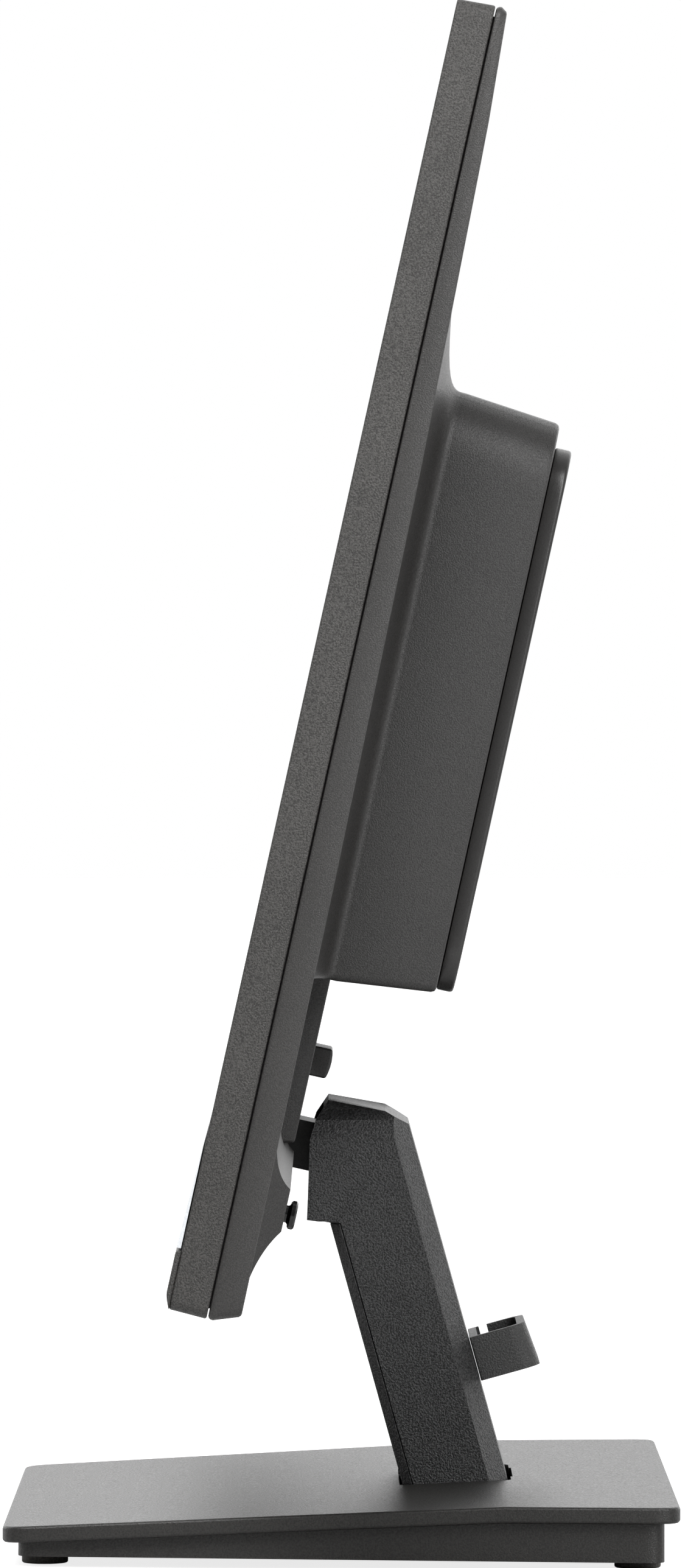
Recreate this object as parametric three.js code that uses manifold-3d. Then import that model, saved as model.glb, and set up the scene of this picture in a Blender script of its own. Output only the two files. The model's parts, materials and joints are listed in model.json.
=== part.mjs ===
// All-in-one computer: a tilting display body with the computer in a deep rear housing,
// carried on a leaning neck and a heavy rectangular base.
// Units are millimetres, +Z is up, the screen faces -Y, and the origin is the centre of the
// base on the surface that the computer stands on.

import * as THREE from 'three';
import { mergeVertices } from 'three/addons/utils/BufferGeometryUtils.js';
import Module from 'manifold-3d';

const wasm = await Module();
wasm.setup();

// ---------------------------------------------------------------- driving dimensions

const GAP = 0.3; // clearance between pieces that rest on, or run in, each other
const PAST = 1; // how far a cutter runs past the face it cuts

// Base
const BASE_FRONT_WIDTH = 210.6;
const BASE_REAR_WIDTH = 242;
const BASE_DEPTH = 174.6;
const BASE_FRONT_HEIGHT = 10.7;
const BASE_REAR_HEIGHT = 16.9;
const BASE_BEND_Y = 42; // the top slopes up to here and is level behind it
const BASE_LIP = 4.2; // height of the top cover's edge
const BASE_CORNER = 7;
const BASE_SKIN = 2.6;
const TRAY_INSET = 4;
const TRAY_WALL = 2.2;
const TRAY_FRONT_LIFT = 2.9;
const TRAY_REAR_LIFT = 2.4;
const WEIGHT_INSET = 14;
const WEIGHT_THICKNESS = 3;
const FOOT_RADIUS = 6;
const FOOT_RECESS = 0.8;
const FRONT_FOOT_SPREAD = 85;
const REAR_FOOT_SPREAD = 100;
const FOOT_FROM_EDGE = 10.6;

// Hinge, and the neck that carries it
const HINGE_Y = 4;
const HINGE_Z = 103;
const TILT = THREE.MathUtils.degToRad(12.43); // the screen leans back by this at rest
const PIN_RADIUS = 3.2;
const EYE_RADIUS = 7;
const LUG_INNER = 5; // half the space between the two neck lugs
const LUG_THICKNESS = 3.2;
const WASHER_THICKNESS = 1.2;
const ARM_THICKNESS = 3;
const ARM_HEIGHT = 12.9;
const ARM_DROP = 1; // the arms leave the display this far below the hinge axis
const NUT_RADIUS = 6;
const NUT_THICKNESS = 3.4;

const NECK_WIDTH = 56;
const NECK_DEPTH = 28.1;
const NECK_LEAN = THREE.MathUtils.degToRad(15.5);
const NECK_WALL = 2.4;
const NECK_SEATING = 1.1; // how deep the foot of the neck sits in the base
const NECK_FRONT_CHAMFER = 2.3;
const NECK_REAR_CHAMFER_X = 8;
const NECK_REAR_CHAMFER_Y = 4.9;
const FRONT_COVER_DEPTH = 2.6;
const HEAD_RISE = 14.3; // head above the hinge axis
const HEAD_DROP = 17.6; // head below the hinge axis
const HEAD_REACH = 12.9; // head in front of the hinge axis
const HEAD_EAVE = 0.4; // how much lower the underside of the head is at the neck than at its front
const HEAD_LEDGE = 6; // underside of the head, in front of the neck
const HEAD_TOP_DEPTH = 15.1;
const HEAD_TOP_FALL = 2.8;
const HEAD_SLOPE = 5.7; // depth of the slope at the front of the head's top
const HEAD_BROW = [2.4, 5.1]; // bends of the head's front: behind the front, below the top
const HEAD_CHEEK = [0.8, 10];
const HEAD_NAPE = 6.4; // where the back of the neck turns into the head, below the top
const HEAD_WINDOW = 40; // width of the opening for the hinge bracket
const FRAME_WIDTH = 30;
const FRAME_THICKNESS = 3;
const FLANGE_WIDTH = 60; // foot of the steel frame inside the base
const FLANGE_DEPTH = 44;
const SCREW_RADIUS = 3;
const SCREW_HEAD_RADIUS = 9;
const SCREW_HEAD_THICKNESS = 2.6;

// Cable clip on the back of the neck
const CLIP_WIDTH = 37;
const CLIP_REACH = 15.3;
const CLIP_HEIGHT = 11.9;
const CLIP_WALL = 2.2;
const CLIP_CORNER = 5;
const CLIP_MOUTH = 2.2;
const CLIP_MOUTH_START = 3;
const CLIP_SPREAD = 1; // the outer face stands out this much more at the bottom than at the top
const CLIP_Z = 48.3; // height of the clip's middle where it meets the neck

// Display body, in its own frame: x across, y back from the front of the bezel, z up the screen
const DISPLAY_WIDTH = 541;
const DISPLAY_HEIGHT = 326;
const HINGE_UP = 35.6; // hinge axis above the bottom of the display
const HINGE_BACK = 39; // hinge axis behind the front of the bezel
const BEZEL_DEPTH = 9.4;
const BEZEL_WALL = 2.2;
const BEZEL_FACE = 1.8;
const BEZEL_CORNER = 3;
const BEZEL_DRAFT = 0.35; // the bezel's front is smaller than its back by this on each side
const SCREEN_WIDTH = 527.4;
const SCREEN_HEIGHT = 296.9;
const TOP_BORDER = 8;
const PANEL_MARGIN = 4; // how far the panel reaches behind the bezel
const GLASS_THICKNESS = 1.5;
const BACKLIGHT_THICKNESS = 4.6;
const CHASSIS_THICKNESS = 1.2;
const CHIN_HEIGHT = 15.2;
const CHIN_PROUD = 1.4;
const STRIP_HEIGHT = 25;
const STRIP_INSET = 0.6;

// Back cover
const COVER_WALL = 2.2;
const RIM_TOP_BACK = 12.4; // back of the rim at the top of the display
const RIM_BOTTOM_BACK = 17.6; // and at the bottom
const RIM_BENDS = [[0.91, 13.9], [0.65, 15.9], [0.35, 17]]; // share of the height, back of the rim
const RIM_SIDE_LEAN = 0.8; // how much the rim draws in from its front to its back
const RIM_BOTTOM_LEAN = 3;
const RIM_TOP_LEAN = 1.6;
const LIP_THICKNESS = 1.2; // lips that close the seams from inside
const SPINE_BACK = 22.2; // back of the raised block between the housing and the hinge
const SPINE_HALF_WIDTH = 78;
const SPINE_BOTTOM = 36;
const SPINE_LEAN = 1.5;
const HOUSING_HALF_WIDTH = 160;
const HOUSING_BOTTOM = 83.5;
const HOUSING_TOP = 235.8;
const HOUSING_BACK = 48.4;
const HOUSING_DRAFT = 0.1; // how much each wall leans in for each millimetre of depth
const HOUSING_CORNER = 15;
const HOUSING_FOOT_CORNER = 2;
// Sloped root of the housing: how far out it reaches, and how far back, at each step
const COVE_STEPS = [[24, 15.4], [10, 16.7], [4.6, 18], [1.4, 20], [0, 22.6]];
const POD_BACK = 22.8;
const POD_HALF_WIDTH = 242;
const POD_TOP = 43.5;
const POD_HOLLOW = 4.2; // the curve from the pod's crest up to the rim bends this far in front of the crest
const POD_HOLLOW_UP = 2.5; // and this far above it
const POD_CREST = 33.5;
const POD_HEEL = 22.9;
const POD_FOOT = 7.5;
const POD_END_LEAN = 0.5;
const POCKET_HALF_WIDTH = 36; // recess in the cover behind the hinge
const POCKET_TOP = 48;
const POCKET_BACK = 18.6;
const BRACKET_WINDOW_MARGIN = 1.5;

// Service plate on the back of the housing
const PLATE_HALF_WIDTH = 151;
const PLATE_THICKNESS = 4.2;
const PLATE_BELOW_TOP = 5.8;
const PLATE_CORNER = 12;
const PLATE_SCREW_RADIUS = 2;
const PLATE_SCREW_HEAD = 3.6;
const PLATE_SCREW_INSET = 14;
const MOUNT_PATTERN = 100; // wall-mount hole spacing
const MOUNT_HOLE_RADIUS = 2.2;

// Controls
const STICK_X = 205;
const STICK_UP = 25.8;
const STICK_RADIUS = 2.15;
const STICK_CAP_RADIUS = 3.6;
const STICK_CAP_THICKNESS = 1.8;
const STICK_CAP_BACK = 25.8;
const STICK_HOLE_RADIUS = 3.5;
const STICK_PIN_RADIUS = 1.2; // end of the stick inside the cradle
const GIMBAL_HALF = 4;
const GIMBAL_OPENING = 2.9;
const GIMBAL_THICKNESS = 1.4;
const GIMBAL_PIVOT_RADIUS = 0.5;
const GIMBAL_CLEARANCE = 1.2; // room between the gimbal and its board, for the tilt
const STICK_REST_GAP = 0.7; // room under the stick's shoulder, for the press
const BOARD_HALF_WIDTH = 14;
const BOARD_HALF_HEIGHT = 7;
const BOARD_THICKNESS = 1.4;
const RELEASE_WIDTH = 24;
const RELEASE_HEIGHT = 8;
const RELEASE_UP = 57;
const RELEASE_BACK = 27.2;
const RELEASE_DOME = 0.5;
const RELEASE_FLANGE = 1.5;

// Vents in the top of the housing
const VENT_COUNT = 26;
const VENT_PITCH = 8;
const VENT_WIDTH = 2.6;
const VENT_FROM = 28;
const VENT_TO = 42;

// Hinge bracket plate and panel chassis
const BRACKET_HALF_WIDTH = 48;
const BRACKET_PLATE_Z = [16, 60];
const CHASSIS_INSET = 4;
const CHASSIS_WINDOW_MARGIN = 20; // opening in the chassis sheet in front of the fan

// Sockets in the underside of the housing: x is the middle, width runs across, depth runs front to
// back, and the tongue is the blade or pin inside
const SOCKET_Y = 34;
const SOCKET_LENGTH = 14;
const SOCKET_WALL = 1;
const SOCKETS = [
  { name: 'usb_socket_left', x: -62, width: 14.5, depth: 7.4, tongue: [11, 2] },
  { name: 'usb_socket_right', x: -42, width: 14.5, depth: 7.4, tongue: [11, 2] },
  { name: 'video_socket', x: -20, width: 16, depth: 6.8, tongue: [12, 1.4] },
  { name: 'network_socket', x: 2, width: 15.6, depth: 13.4, tongue: null },
  { name: 'power_inlet', x: 26, width: 10.4, depth: 10.4, tongue: [2.2, 2.2] },
];

// Computer boards and modules inside the housing: spans across, in depth and up the screen
const BOARD_X = [-76, 72];
const BOARD_Y = [26, 27.6];
const BOARD_TOP = 222;
const BOARD_ABOVE_SOCKETS = 1.5;
const MEMORY_X = [-70, -40];
const MEMORY_Z = [126, 194];
const MEMORY_THICKNESS = 4;
const WIRELESS_X = [36, 66];
const WIRELESS_Z = [110, 132];
const WIRELESS_THICKNESS = 2.4;
const DRIVE_SPANS = [[-150, -82], [24, 31], [100, 200]];
const POWER_BOARD_SPANS = [[84, 146], [26, 34], [96, 146]];
const SPEAKER_X = [96, 150];
const SPEAKER_Z = [18, 38];
const SPEAKER_THICKNESS = 4;

// Processor cooling
const SINK_X = [-34, 26];
const SINK_Z = [140, 196];
const SINK_BASE = 3;
const FIN_COUNT = 9;
const FIN_PITCH = 7.2;
const FIN_THICKNESS = 1.4;
const FIN_HEIGHT = 11;
const PIPE_RADIUS = 2.2;
const PIPE_UP = 168;
const PIPE_HEIGHT = 5.6; // middle of the heat pipe behind the mainboard
const FAN_X = 116;
const FAN_UP = 190;
const FAN_SIZE = 66;
const FAN_DEPTH = 12;
const FAN_Y = 26;
const FAN_WALL = 1.2;
const FAN_POST_RADIUS = 1.5;
const FAN_OUTLET_HALF_WIDTH = 20;
const FAN_BLADES = 9;
const FAN_HUB_RADIUS = 11;
const FAN_TIP_RADIUS = 28;

// ---------------------------------------------------------------- geometry helpers

function solidOf(geometry) {
  const bare = geometry.clone();
  bare.deleteAttribute('normal');
  bare.deleteAttribute('uv');
  const merged = mergeVertices(bare, 1e-4);
  const mesh = new wasm.Mesh({
    numProp: 3,
    vertProperties: new Float32Array(merged.attributes.position.array),
    triVerts: new Uint32Array(merged.index.array),
  });
  return new wasm.Manifold(mesh);
}

function geometryOf(solid) {
  const mesh = solid.getMesh();
  const geometry = new THREE.BufferGeometry();
  geometry.setAttribute('position', new THREE.BufferAttribute(mesh.vertProperties, 3));
  geometry.setIndex(new THREE.BufferAttribute(mesh.triVerts, 1));
  geometry.computeVertexNormals();
  return geometry;
}

const cut = (body, ...tools) => tools.reduce((left, tool) => left.subtract(tool), body);
const join = (body, ...others) => others.reduce((sum, other) => sum.add(other), body);
const common = (body, other) => body.intersect(other);

function block([x0, x1], [y0, y1], [z0, z1]) {
  const geometry = new THREE.BoxGeometry(x1 - x0, y1 - y0, z1 - z0);
  geometry.translate((x0 + x1) / 2, (y0 + y1) / 2, (z0 + z1) / 2);
  return solidOf(geometry);
}

function outline(points) {
  return new THREE.Shape(points.map(([a, b]) => new THREE.Vector2(a, b)));
}

// A rectangle with a radius for its lower and its upper corners
function roundedRectangle(a0, a1, b0, b1, lowRadius, highRadius = lowRadius) {
  const shape = new THREE.Shape();
  shape.moveTo(a0 + lowRadius, b0);
  shape.lineTo(a1 - lowRadius, b0);
  shape.absarc(a1 - lowRadius, b0 + lowRadius, lowRadius, -Math.PI / 2, 0);
  shape.lineTo(a1, b1 - highRadius);
  shape.absarc(a1 - highRadius, b1 - highRadius, highRadius, 0, Math.PI / 2);
  shape.lineTo(a0 + highRadius, b1);
  shape.absarc(a0 + highRadius, b1 - highRadius, highRadius, Math.PI / 2, Math.PI);
  shape.lineTo(a0, b0 + lowRadius);
  shape.absarc(a0 + lowRadius, b0 + lowRadius, lowRadius, Math.PI, Math.PI * 1.5);
  return shape;
}

// A polygon whose corners are rounded off
function roundedPolygon(points, radius) {
  const corners = points.map(([a, b]) => new THREE.Vector2(a, b));
  const shape = new THREE.Shape();
  corners.forEach((corner, index) => {
    const before = corners.at(index - 1).clone().sub(corner).setLength(radius).add(corner);
    const after = corners[(index + 1) % corners.length].clone().sub(corner).setLength(radius).add(corner);
    if (index === 0) shape.moveTo(before.x, before.y);
    else shape.lineTo(before.x, before.y);
    shape.quadraticCurveTo(corner.x, corner.y, after.x, after.y);
  });
  return shape;
}

function circle(a, b, radius) {
  const shape = new THREE.Shape();
  shape.absarc(a, b, radius, 0, Math.PI * 2);
  return shape;
}

function extrude(shape, depth, curveSegments) {
  return new THREE.ExtrudeGeometry(shape, { depth, bevelEnabled: false, curveSegments });
}

const AXES = {
  x: new THREE.Matrix4().set(0, 0, 1, 0, 1, 0, 0, 0, 0, 1, 0, 0, 0, 0, 0, 1),
  y: new THREE.Matrix4().set(1, 0, 0, 0, 0, 0, -1, 0, 0, 1, 0, 0, 0, 0, 0, 1),
  z: new THREE.Matrix4(),
};

// Outline in (y, z), swept along x
function alongX(shape, x0, x1, curveSegments = 5) {
  const geometry = extrude(shape, x1 - x0, curveSegments);
  geometry.applyMatrix4(AXES.x);
  geometry.translate(x0, 0, 0);
  return geometry;
}

// Outline in (x, z), swept along y
function alongY(shape, y0, y1, curveSegments = 5) {
  const geometry = extrude(shape, y1 - y0, curveSegments);
  geometry.applyMatrix4(AXES.y);
  geometry.translate(0, y1, 0);
  return geometry;
}

// Outline in (x, y), swept along z
function alongZ(shape, z0, z1, curveSegments = 5) {
  const geometry = extrude(shape, z1 - z0, curveSegments);
  geometry.translate(0, 0, z0);
  return geometry;
}

const rodX = (y, z, radius, x0, x1, sides = 24) =>
  solidOf(alongX(circle(y, z, radius), x0, x1, sides));
const rodY = (x, z, radius, y0, y1, sides = 24) =>
  solidOf(alongY(circle(x, z, radius), y0, y1, sides));
const rodZ = (x, y, radius, z0, z1, sides = 24) =>
  solidOf(alongZ(circle(x, y, radius), z0, z1, sides));

// Everything on the side of a plane that its normal points to
function halfSpace(point, normal) {
  const size = 1000;
  const geometry = new THREE.BoxGeometry(size, size, size);
  geometry.translate(0, 0, size / 2);
  const turn = new THREE.Quaternion();
  turn.setFromUnitVectors(new THREE.Vector3(0, 0, 1), normal.clone().normalize());
  geometry.applyQuaternion(turn);
  geometry.translate(point.x, point.y, point.z);
  return solidOf(geometry);
}

// Moves each vertex by a rule
function reshape(geometry, rule) {
  const position = geometry.attributes.position;
  const vertex = new THREE.Vector3();
  for (let i = 0; i < position.count; i += 1) {
    vertex.fromBufferAttribute(position, i);
    rule(vertex);
    position.setXYZ(i, vertex.x, vertex.y, vertex.z);
  }
  return geometry;
}

// ---------------------------------------------------------------- finishes

function finish(color, roughness, metalness = 0) {
  return new THREE.MeshStandardMaterial({ color, roughness, metalness });
}

const FINISH = {
  grainedPlastic: finish(0x3d3b3a, 0.62),
  finePlastic: finish(0x3a3837, 0.5),
  satinPlastic: finish(0x2f2e2e, 0.35),
  glossBlack: finish(0x0c0b0b, 0.12),
  blackSteel: finish(0x121212, 0.4, 0.6),
  zincSteel: finish(0x9a9ca0, 0.4, 0.9),
  castSteel: finish(0x5a5b5d, 0.6, 0.8),
  rubber: finish(0x1c1b1b, 0.9),
  screenGlass: finish(0x08090b, 0.25),
  whiteSheet: finish(0xc9cacb, 0.6),
  clearStrip: finish(0xd6d8da, 0.2),
  circuitBoard: finish(0x14342a, 0.5),
  copper: finish(0xb06a3c, 0.35, 0.9),
  aluminium: finish(0xa8abae, 0.4, 0.9),
  socketMetal: finish(0xb9bcc0, 0.3, 0.9),
  darkPlastic: finish(0x18191b, 0.5),
};

// ---------------------------------------------------------------- assembly tree

const computer = new THREE.Group();
const stand = new THREE.Group();
const hinge = new THREE.Group();
const display = new THREE.Group();
hinge.position.set(0, HINGE_Y, HINGE_Z);
hinge.rotation.x = -TILT;
display.position.set(0, -HINGE_BACK, -HINGE_UP);
hinge.add(display);
computer.add(stand, hinge);

function add(group, name, solid, material) {
  const mesh = new THREE.Mesh(geometryOf(solid), material);
  mesh.name = name;
  group.add(mesh);
}

// ---------------------------------------------------------------- base

const halfBaseDepth = BASE_DEPTH / 2;
const baseSlope = (BASE_REAR_HEIGHT - BASE_FRONT_HEIGHT) / (BASE_BEND_Y + halfBaseDepth);
const trayBottom = (y) =>
  TRAY_REAR_LIFT + (TRAY_FRONT_LIFT - TRAY_REAR_LIFT) * (halfBaseDepth - y) / BASE_DEPTH;
const baseTop = (y) =>
  y > BASE_BEND_Y ? BASE_REAR_HEIGHT : BASE_REAR_HEIGHT - baseSlope * (BASE_BEND_Y - y);

// The band between two heights that both follow the sloping top of the base
function baseBand(from, to) {
  const lengthwise = [-halfBaseDepth - PAST, BASE_BEND_Y, halfBaseDepth + PAST];
  const upper = lengthwise.map((y) => [y, baseTop(y) + to]);
  const lower = lengthwise.map((y) => [y, baseTop(y) + from]).reverse();
  return solidOf(alongX(outline([...lower.reverse(), ...upper.reverse()]), -BASE_REAR_WIDTH, BASE_REAR_WIDTH));
}

function basePlan(inset, z0, z1) {
  const front = BASE_FRONT_WIDTH / 2 - inset;
  const rear = BASE_REAR_WIDTH / 2 - inset;
  const reach = halfBaseDepth - inset;
  const plan = roundedPolygon([[-front, -reach], [front, -reach], [rear, reach], [-rear, reach]],
    Math.max(BASE_CORNER - inset / 2, 1.5));
  return solidOf(alongZ(plan, z0, z1));
}

const tanLean = Math.tan(NECK_LEAN);
const headFront = HINGE_Y - HEAD_REACH;
const headBottom = HINGE_Z - HEAD_DROP;
const headTop = HINGE_Z + HEAD_RISE;
const neckFront = (z) => headFront + HEAD_LEDGE + (headBottom - z) * tanLean;
const neckRear = (z) => neckFront(z) + NECK_DEPTH;
const frontCoverTop = headBottom - HEAD_EAVE - GAP;
const footFrontY = neckFront(baseTop(HINGE_Y));
const footZ = baseTop(footFrontY) - NECK_SEATING;
const screwY = (neckFront(footZ) + neckRear(footZ)) / 2;
const flangeTop = baseTop(screwY - FLANGE_DEPTH / 2) - BASE_SKIN - GAP * 2;
const flangeBottom = flangeTop - FRAME_THICKNESS;

// The hole that the foot of the neck stands in
function neckSocket(clearance, z0, z1) {
  const half = NECK_WIDTH / 2 + clearance;
  return block([-half, half], [neckFront(z1) - clearance, neckRear(z0) + clearance], [z0, z1]);
}

function baseTopCover() {
  const lip = common(basePlan(0, 0, BASE_REAR_HEIGHT + PAST), baseBand(-BASE_LIP, 0));
  const hollow = common(basePlan(BASE_SKIN, 0, BASE_REAR_HEIGHT), baseBand(-BASE_LIP - PAST, -BASE_SKIN));
  const seat = neckSocket(GAP, footZ - GAP, BASE_REAR_HEIGHT + PAST);
  const frameHole = block(
    [-FRAME_WIDTH / 2 - GAP, FRAME_WIDTH / 2 + GAP],
    [screwY - FRAME_WIDTH / 2, screwY + FRAME_WIDTH / 2],
    [0, BASE_REAR_HEIGHT]);
  return cut(lip, hollow, seat, frameHole);
}

function trayFloorSlab(lift, thickness) {
  const reach = halfBaseDepth + PAST;
  return solidOf(alongX(outline([
    [-reach, trayBottom(-reach) + lift],
    [reach, trayBottom(reach) + lift],
    [reach, trayBottom(reach) + lift + thickness],
    [-reach, trayBottom(-reach) + lift + thickness],
  ]), -BASE_REAR_WIDTH, BASE_REAR_WIDTH));
}

const footPlaces = [
  ['foot_front_left', -FRONT_FOOT_SPREAD, -halfBaseDepth + FOOT_FROM_EDGE],
  ['foot_front_right', FRONT_FOOT_SPREAD, -halfBaseDepth + FOOT_FROM_EDGE],
  ['foot_rear_left', -REAR_FOOT_SPREAD, halfBaseDepth - FOOT_FROM_EDGE],
  ['foot_rear_right', REAR_FOOT_SPREAD, halfBaseDepth - FOOT_FROM_EDGE],
];

function baseTray() {
  const outside = common(basePlan(TRAY_INSET, 0, BASE_REAR_HEIGHT), baseBand(-BASE_REAR_HEIGHT, -BASE_LIP - GAP));
  const trimmed = cut(outside, trayFloorSlab(-BASE_REAR_HEIGHT, BASE_REAR_HEIGHT));
  const inside = common(
    basePlan(TRAY_INSET + TRAY_WALL, 0, BASE_REAR_HEIGHT + PAST),
    trayFloorSlab(TRAY_WALL, BASE_REAR_HEIGHT * 2));
  const recesses = footPlaces.map(([, x, y]) =>
    rodZ(x, y, FOOT_RADIUS + GAP, 0, trayBottom(y) + FOOT_RECESS, 10));
  const screwRecess = rodZ(0, screwY, SCREW_HEAD_RADIUS + GAP * 2, 0, trayBottom(screwY) + TRAY_WALL - PAST, 12);
  const screwHole = rodZ(0, screwY, SCREW_RADIUS + GAP, 0, BASE_REAR_HEIGHT, 8);
  return cut(trimmed, inside, ...recesses, screwRecess, screwHole);
}

const weightBottom = trayBottom(-halfBaseDepth) + TRAY_WALL + GAP;

function baseWeight() {
  const plate = common(
    basePlan(WEIGHT_INSET, weightBottom, weightBottom + WEIGHT_THICKNESS),
    baseBand(-BASE_REAR_HEIGHT, -BASE_LIP - GAP));
  const flangeRoom = block(
    [-FLANGE_WIDTH / 2 - GAP, FLANGE_WIDTH / 2 + GAP],
    [screwY - FLANGE_DEPTH / 2 - GAP, screwY + FLANGE_DEPTH / 2 + GAP],
    [flangeBottom - GAP, BASE_REAR_HEIGHT]);
  const screwHole = rodZ(0, screwY, SCREW_RADIUS + GAP, 0, BASE_REAR_HEIGHT, 8);
  return cut(plate, flangeRoom, screwHole);
}

function baseScrew() {
  const headBase = trayBottom(screwY) + TRAY_WALL - PAST - GAP - SCREW_HEAD_THICKNESS;
  const head = rodZ(0, screwY, SCREW_HEAD_RADIUS, headBase, headBase + SCREW_HEAD_THICKNESS, 10);
  const shank = rodZ(0, screwY, SCREW_RADIUS, headBase, flangeTop + GAP, 8);
  return join(head, shank);
}

function baseParts() {
  add(stand, 'base_top_cover', baseTopCover(), FINISH.finePlastic);
  add(stand, 'base_tray', baseTray(), FINISH.grainedPlastic);
  add(stand, 'base_weight_plate', baseWeight(), FINISH.castSteel);
  add(stand, 'base_screw', baseScrew(), FINISH.zincSteel);
  for (const [name, x, y] of footPlaces) {
    const foot = rodZ(x, y, FOOT_RADIUS, 0, trayBottom(y) + FOOT_RECESS - GAP, 10);
    add(stand, name, foot, FINISH.rubber);
  }
}

// ---------------------------------------------------------------- neck

// The neck seen from the side, drawn in by a wall thickness
function neckProfile(inset, bottomZ) {
  return outline([
    [neckFront(bottomZ) + inset, bottomZ],
    [neckRear(bottomZ) - inset, bottomZ],
    [neckRear(headTop - HEAD_NAPE) - inset, headTop - HEAD_NAPE],
    [headFront + HEAD_SLOPE + HEAD_TOP_DEPTH - inset * 0.4, headTop - HEAD_TOP_FALL - inset],
    [headFront + HEAD_SLOPE + inset * 0.5, headTop - inset],
    [headFront + HEAD_BROW[0] + inset, headTop - HEAD_BROW[1] - inset * 0.4],
    [headFront + HEAD_CHEEK[0] + inset, headTop - HEAD_CHEEK[1]],
    [headFront + inset, headBottom + 0.4 + inset],
    [neckFront(headBottom - HEAD_EAVE + inset) + inset, headBottom - HEAD_EAVE + inset],
  ]);
}

// Planes that take the long edges off the neck
function neckEdgeCuts() {
  const halfWidth = NECK_WIDTH / 2;
  const cuts = [];
  for (const side of [-1, 1]) {
    const rearPoint = new THREE.Vector3(side * halfWidth, neckRear(footZ) - NECK_REAR_CHAMFER_Y, footZ);
    const rearNormal = new THREE.Vector3(
      side * NECK_REAR_CHAMFER_Y, NECK_REAR_CHAMFER_X, NECK_REAR_CHAMFER_X * tanLean);
    cuts.push(halfSpace(rearPoint, rearNormal));
    const topSteps = [[8, 0, 5, 2.2], [5, 2.2, 2, 5], [2, 5, 0, 9.5]];
    for (const [inX, downZ, inX2, downZ2] of topSteps) {
      const topPoint = new THREE.Vector3(side * (halfWidth - inX), 0, headTop - downZ);
      const topNormal = new THREE.Vector3(side * (downZ2 - downZ), 0, inX - inX2);
      cuts.push(halfSpace(topPoint, topNormal));
    }
  }
  return cuts;
}

function neckShell() {
  const halfWidth = NECK_WIDTH / 2;
  const outside = solidOf(alongX(neckProfile(0, footZ), -halfWidth, halfWidth));
  const innerHalf = halfWidth - NECK_WALL;
  const inside = solidOf(alongX(neckProfile(NECK_WALL, footZ - PAST), -innerHalf, innerHalf));
  const trim = neckEdgeCuts();
  const innerCorners = [-1, 1].map((side) => {
    const point = new THREE.Vector3(
      side * innerHalf, neckRear(footZ) - NECK_REAR_CHAMFER_Y - NECK_WALL, footZ);
    const normal = new THREE.Vector3(
      side * NECK_REAR_CHAMFER_Y, NECK_REAR_CHAMFER_X, NECK_REAR_CHAMFER_X * tanLean);
    return halfSpace(point, normal);
  });
  const topCorners = [-1, 1].map((side) => halfSpace(
    new THREE.Vector3(side * (halfWidth - NECK_WALL), 0, headTop - 11.5),
    new THREE.Vector3(side, 0, 1)));
  const window = block(
    [-HEAD_WINDOW / 2, HEAD_WINDOW / 2],
    [headFront - PAST, HINGE_Y - 6],
    [HINGE_Z - 11, headTop - 2]);
  return cut(cut(outside, ...trim), cut(inside, ...innerCorners, ...topCorners), window);
}

// The layer along the front of the neck, below the head, that the front cover takes up
function frontLayer(depth, top) {
  const foot = footZ - PAST;
  return solidOf(alongX(outline([
    [neckFront(top) - PAST * 2, top],
    [neckFront(foot) - PAST * 2, foot],
    [neckFront(foot) + depth, foot],
    [neckFront(top) + depth, top],
  ]), -NECK_WIDTH, NECK_WIDTH));
}

function neckFrontChamfers() {
  const halfWidth = NECK_WIDTH / 2;
  return [-1, 1].map((side) => halfSpace(
    new THREE.Vector3(side * halfWidth, neckFront(footZ) + NECK_FRONT_CHAMFER, footZ),
    new THREE.Vector3(side, -1, -tanLean)));
}

// Lips on the front cover that close the seam down each side of the neck from inside
function neckLips() {
  const outerX = NECK_WIDTH / 2 - NECK_WALL - GAP;
  const band = cut(
    frontLayer(FRONT_COVER_DEPTH + GAP + LIP_THICKNESS, frontCoverTop),
    frontLayer(NECK_WALL - GAP, headBottom));
  return [[outerX - LIP_THICKNESS, outerX], [-outerX, LIP_THICKNESS - outerX]].map(([x0, x1]) =>
    common(band, block([x0, x1], [-HINGE_Z, HINGE_Z], [footZ, headBottom])));
}

function neckCovers() {
  const shell = neckShell();
  const below = block(
    [-NECK_WIDTH, NECK_WIDTH], [-HINGE_Z, HINGE_Z], [0, headBottom]);
  const lowerChamfers = neckFrontChamfers().map((tool) => common(tool, below));
  const chamfered = cut(shell, ...lowerChamfers);
  const frontCover = join(common(chamfered, frontLayer(FRONT_COVER_DEPTH, frontCoverTop)), ...neckLips());
  add(stand, 'neck_front_cover', frontCover, FINISH.grainedPlastic);
  const coverSeat = frontLayer(FRONT_COVER_DEPTH + GAP, headBottom - HEAD_EAVE);
  add(stand, 'neck_rear_cover', cut(chamfered, coverSeat), FINISH.grainedPlastic);
}

const lugX = [LUG_INNER, LUG_INNER + LUG_THICKNESS];
const washerX = [lugX[1] + GAP, lugX[1] + GAP + WASHER_THICKNESS];
const armX = [washerX[1] + GAP, washerX[1] + GAP + ARM_THICKNESS];
const nutX = [armX[1] + GAP, armX[1] + GAP + NUT_THICKNESS];
const mirrored = ([x0, x1]) => [-x1, -x0];

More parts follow.
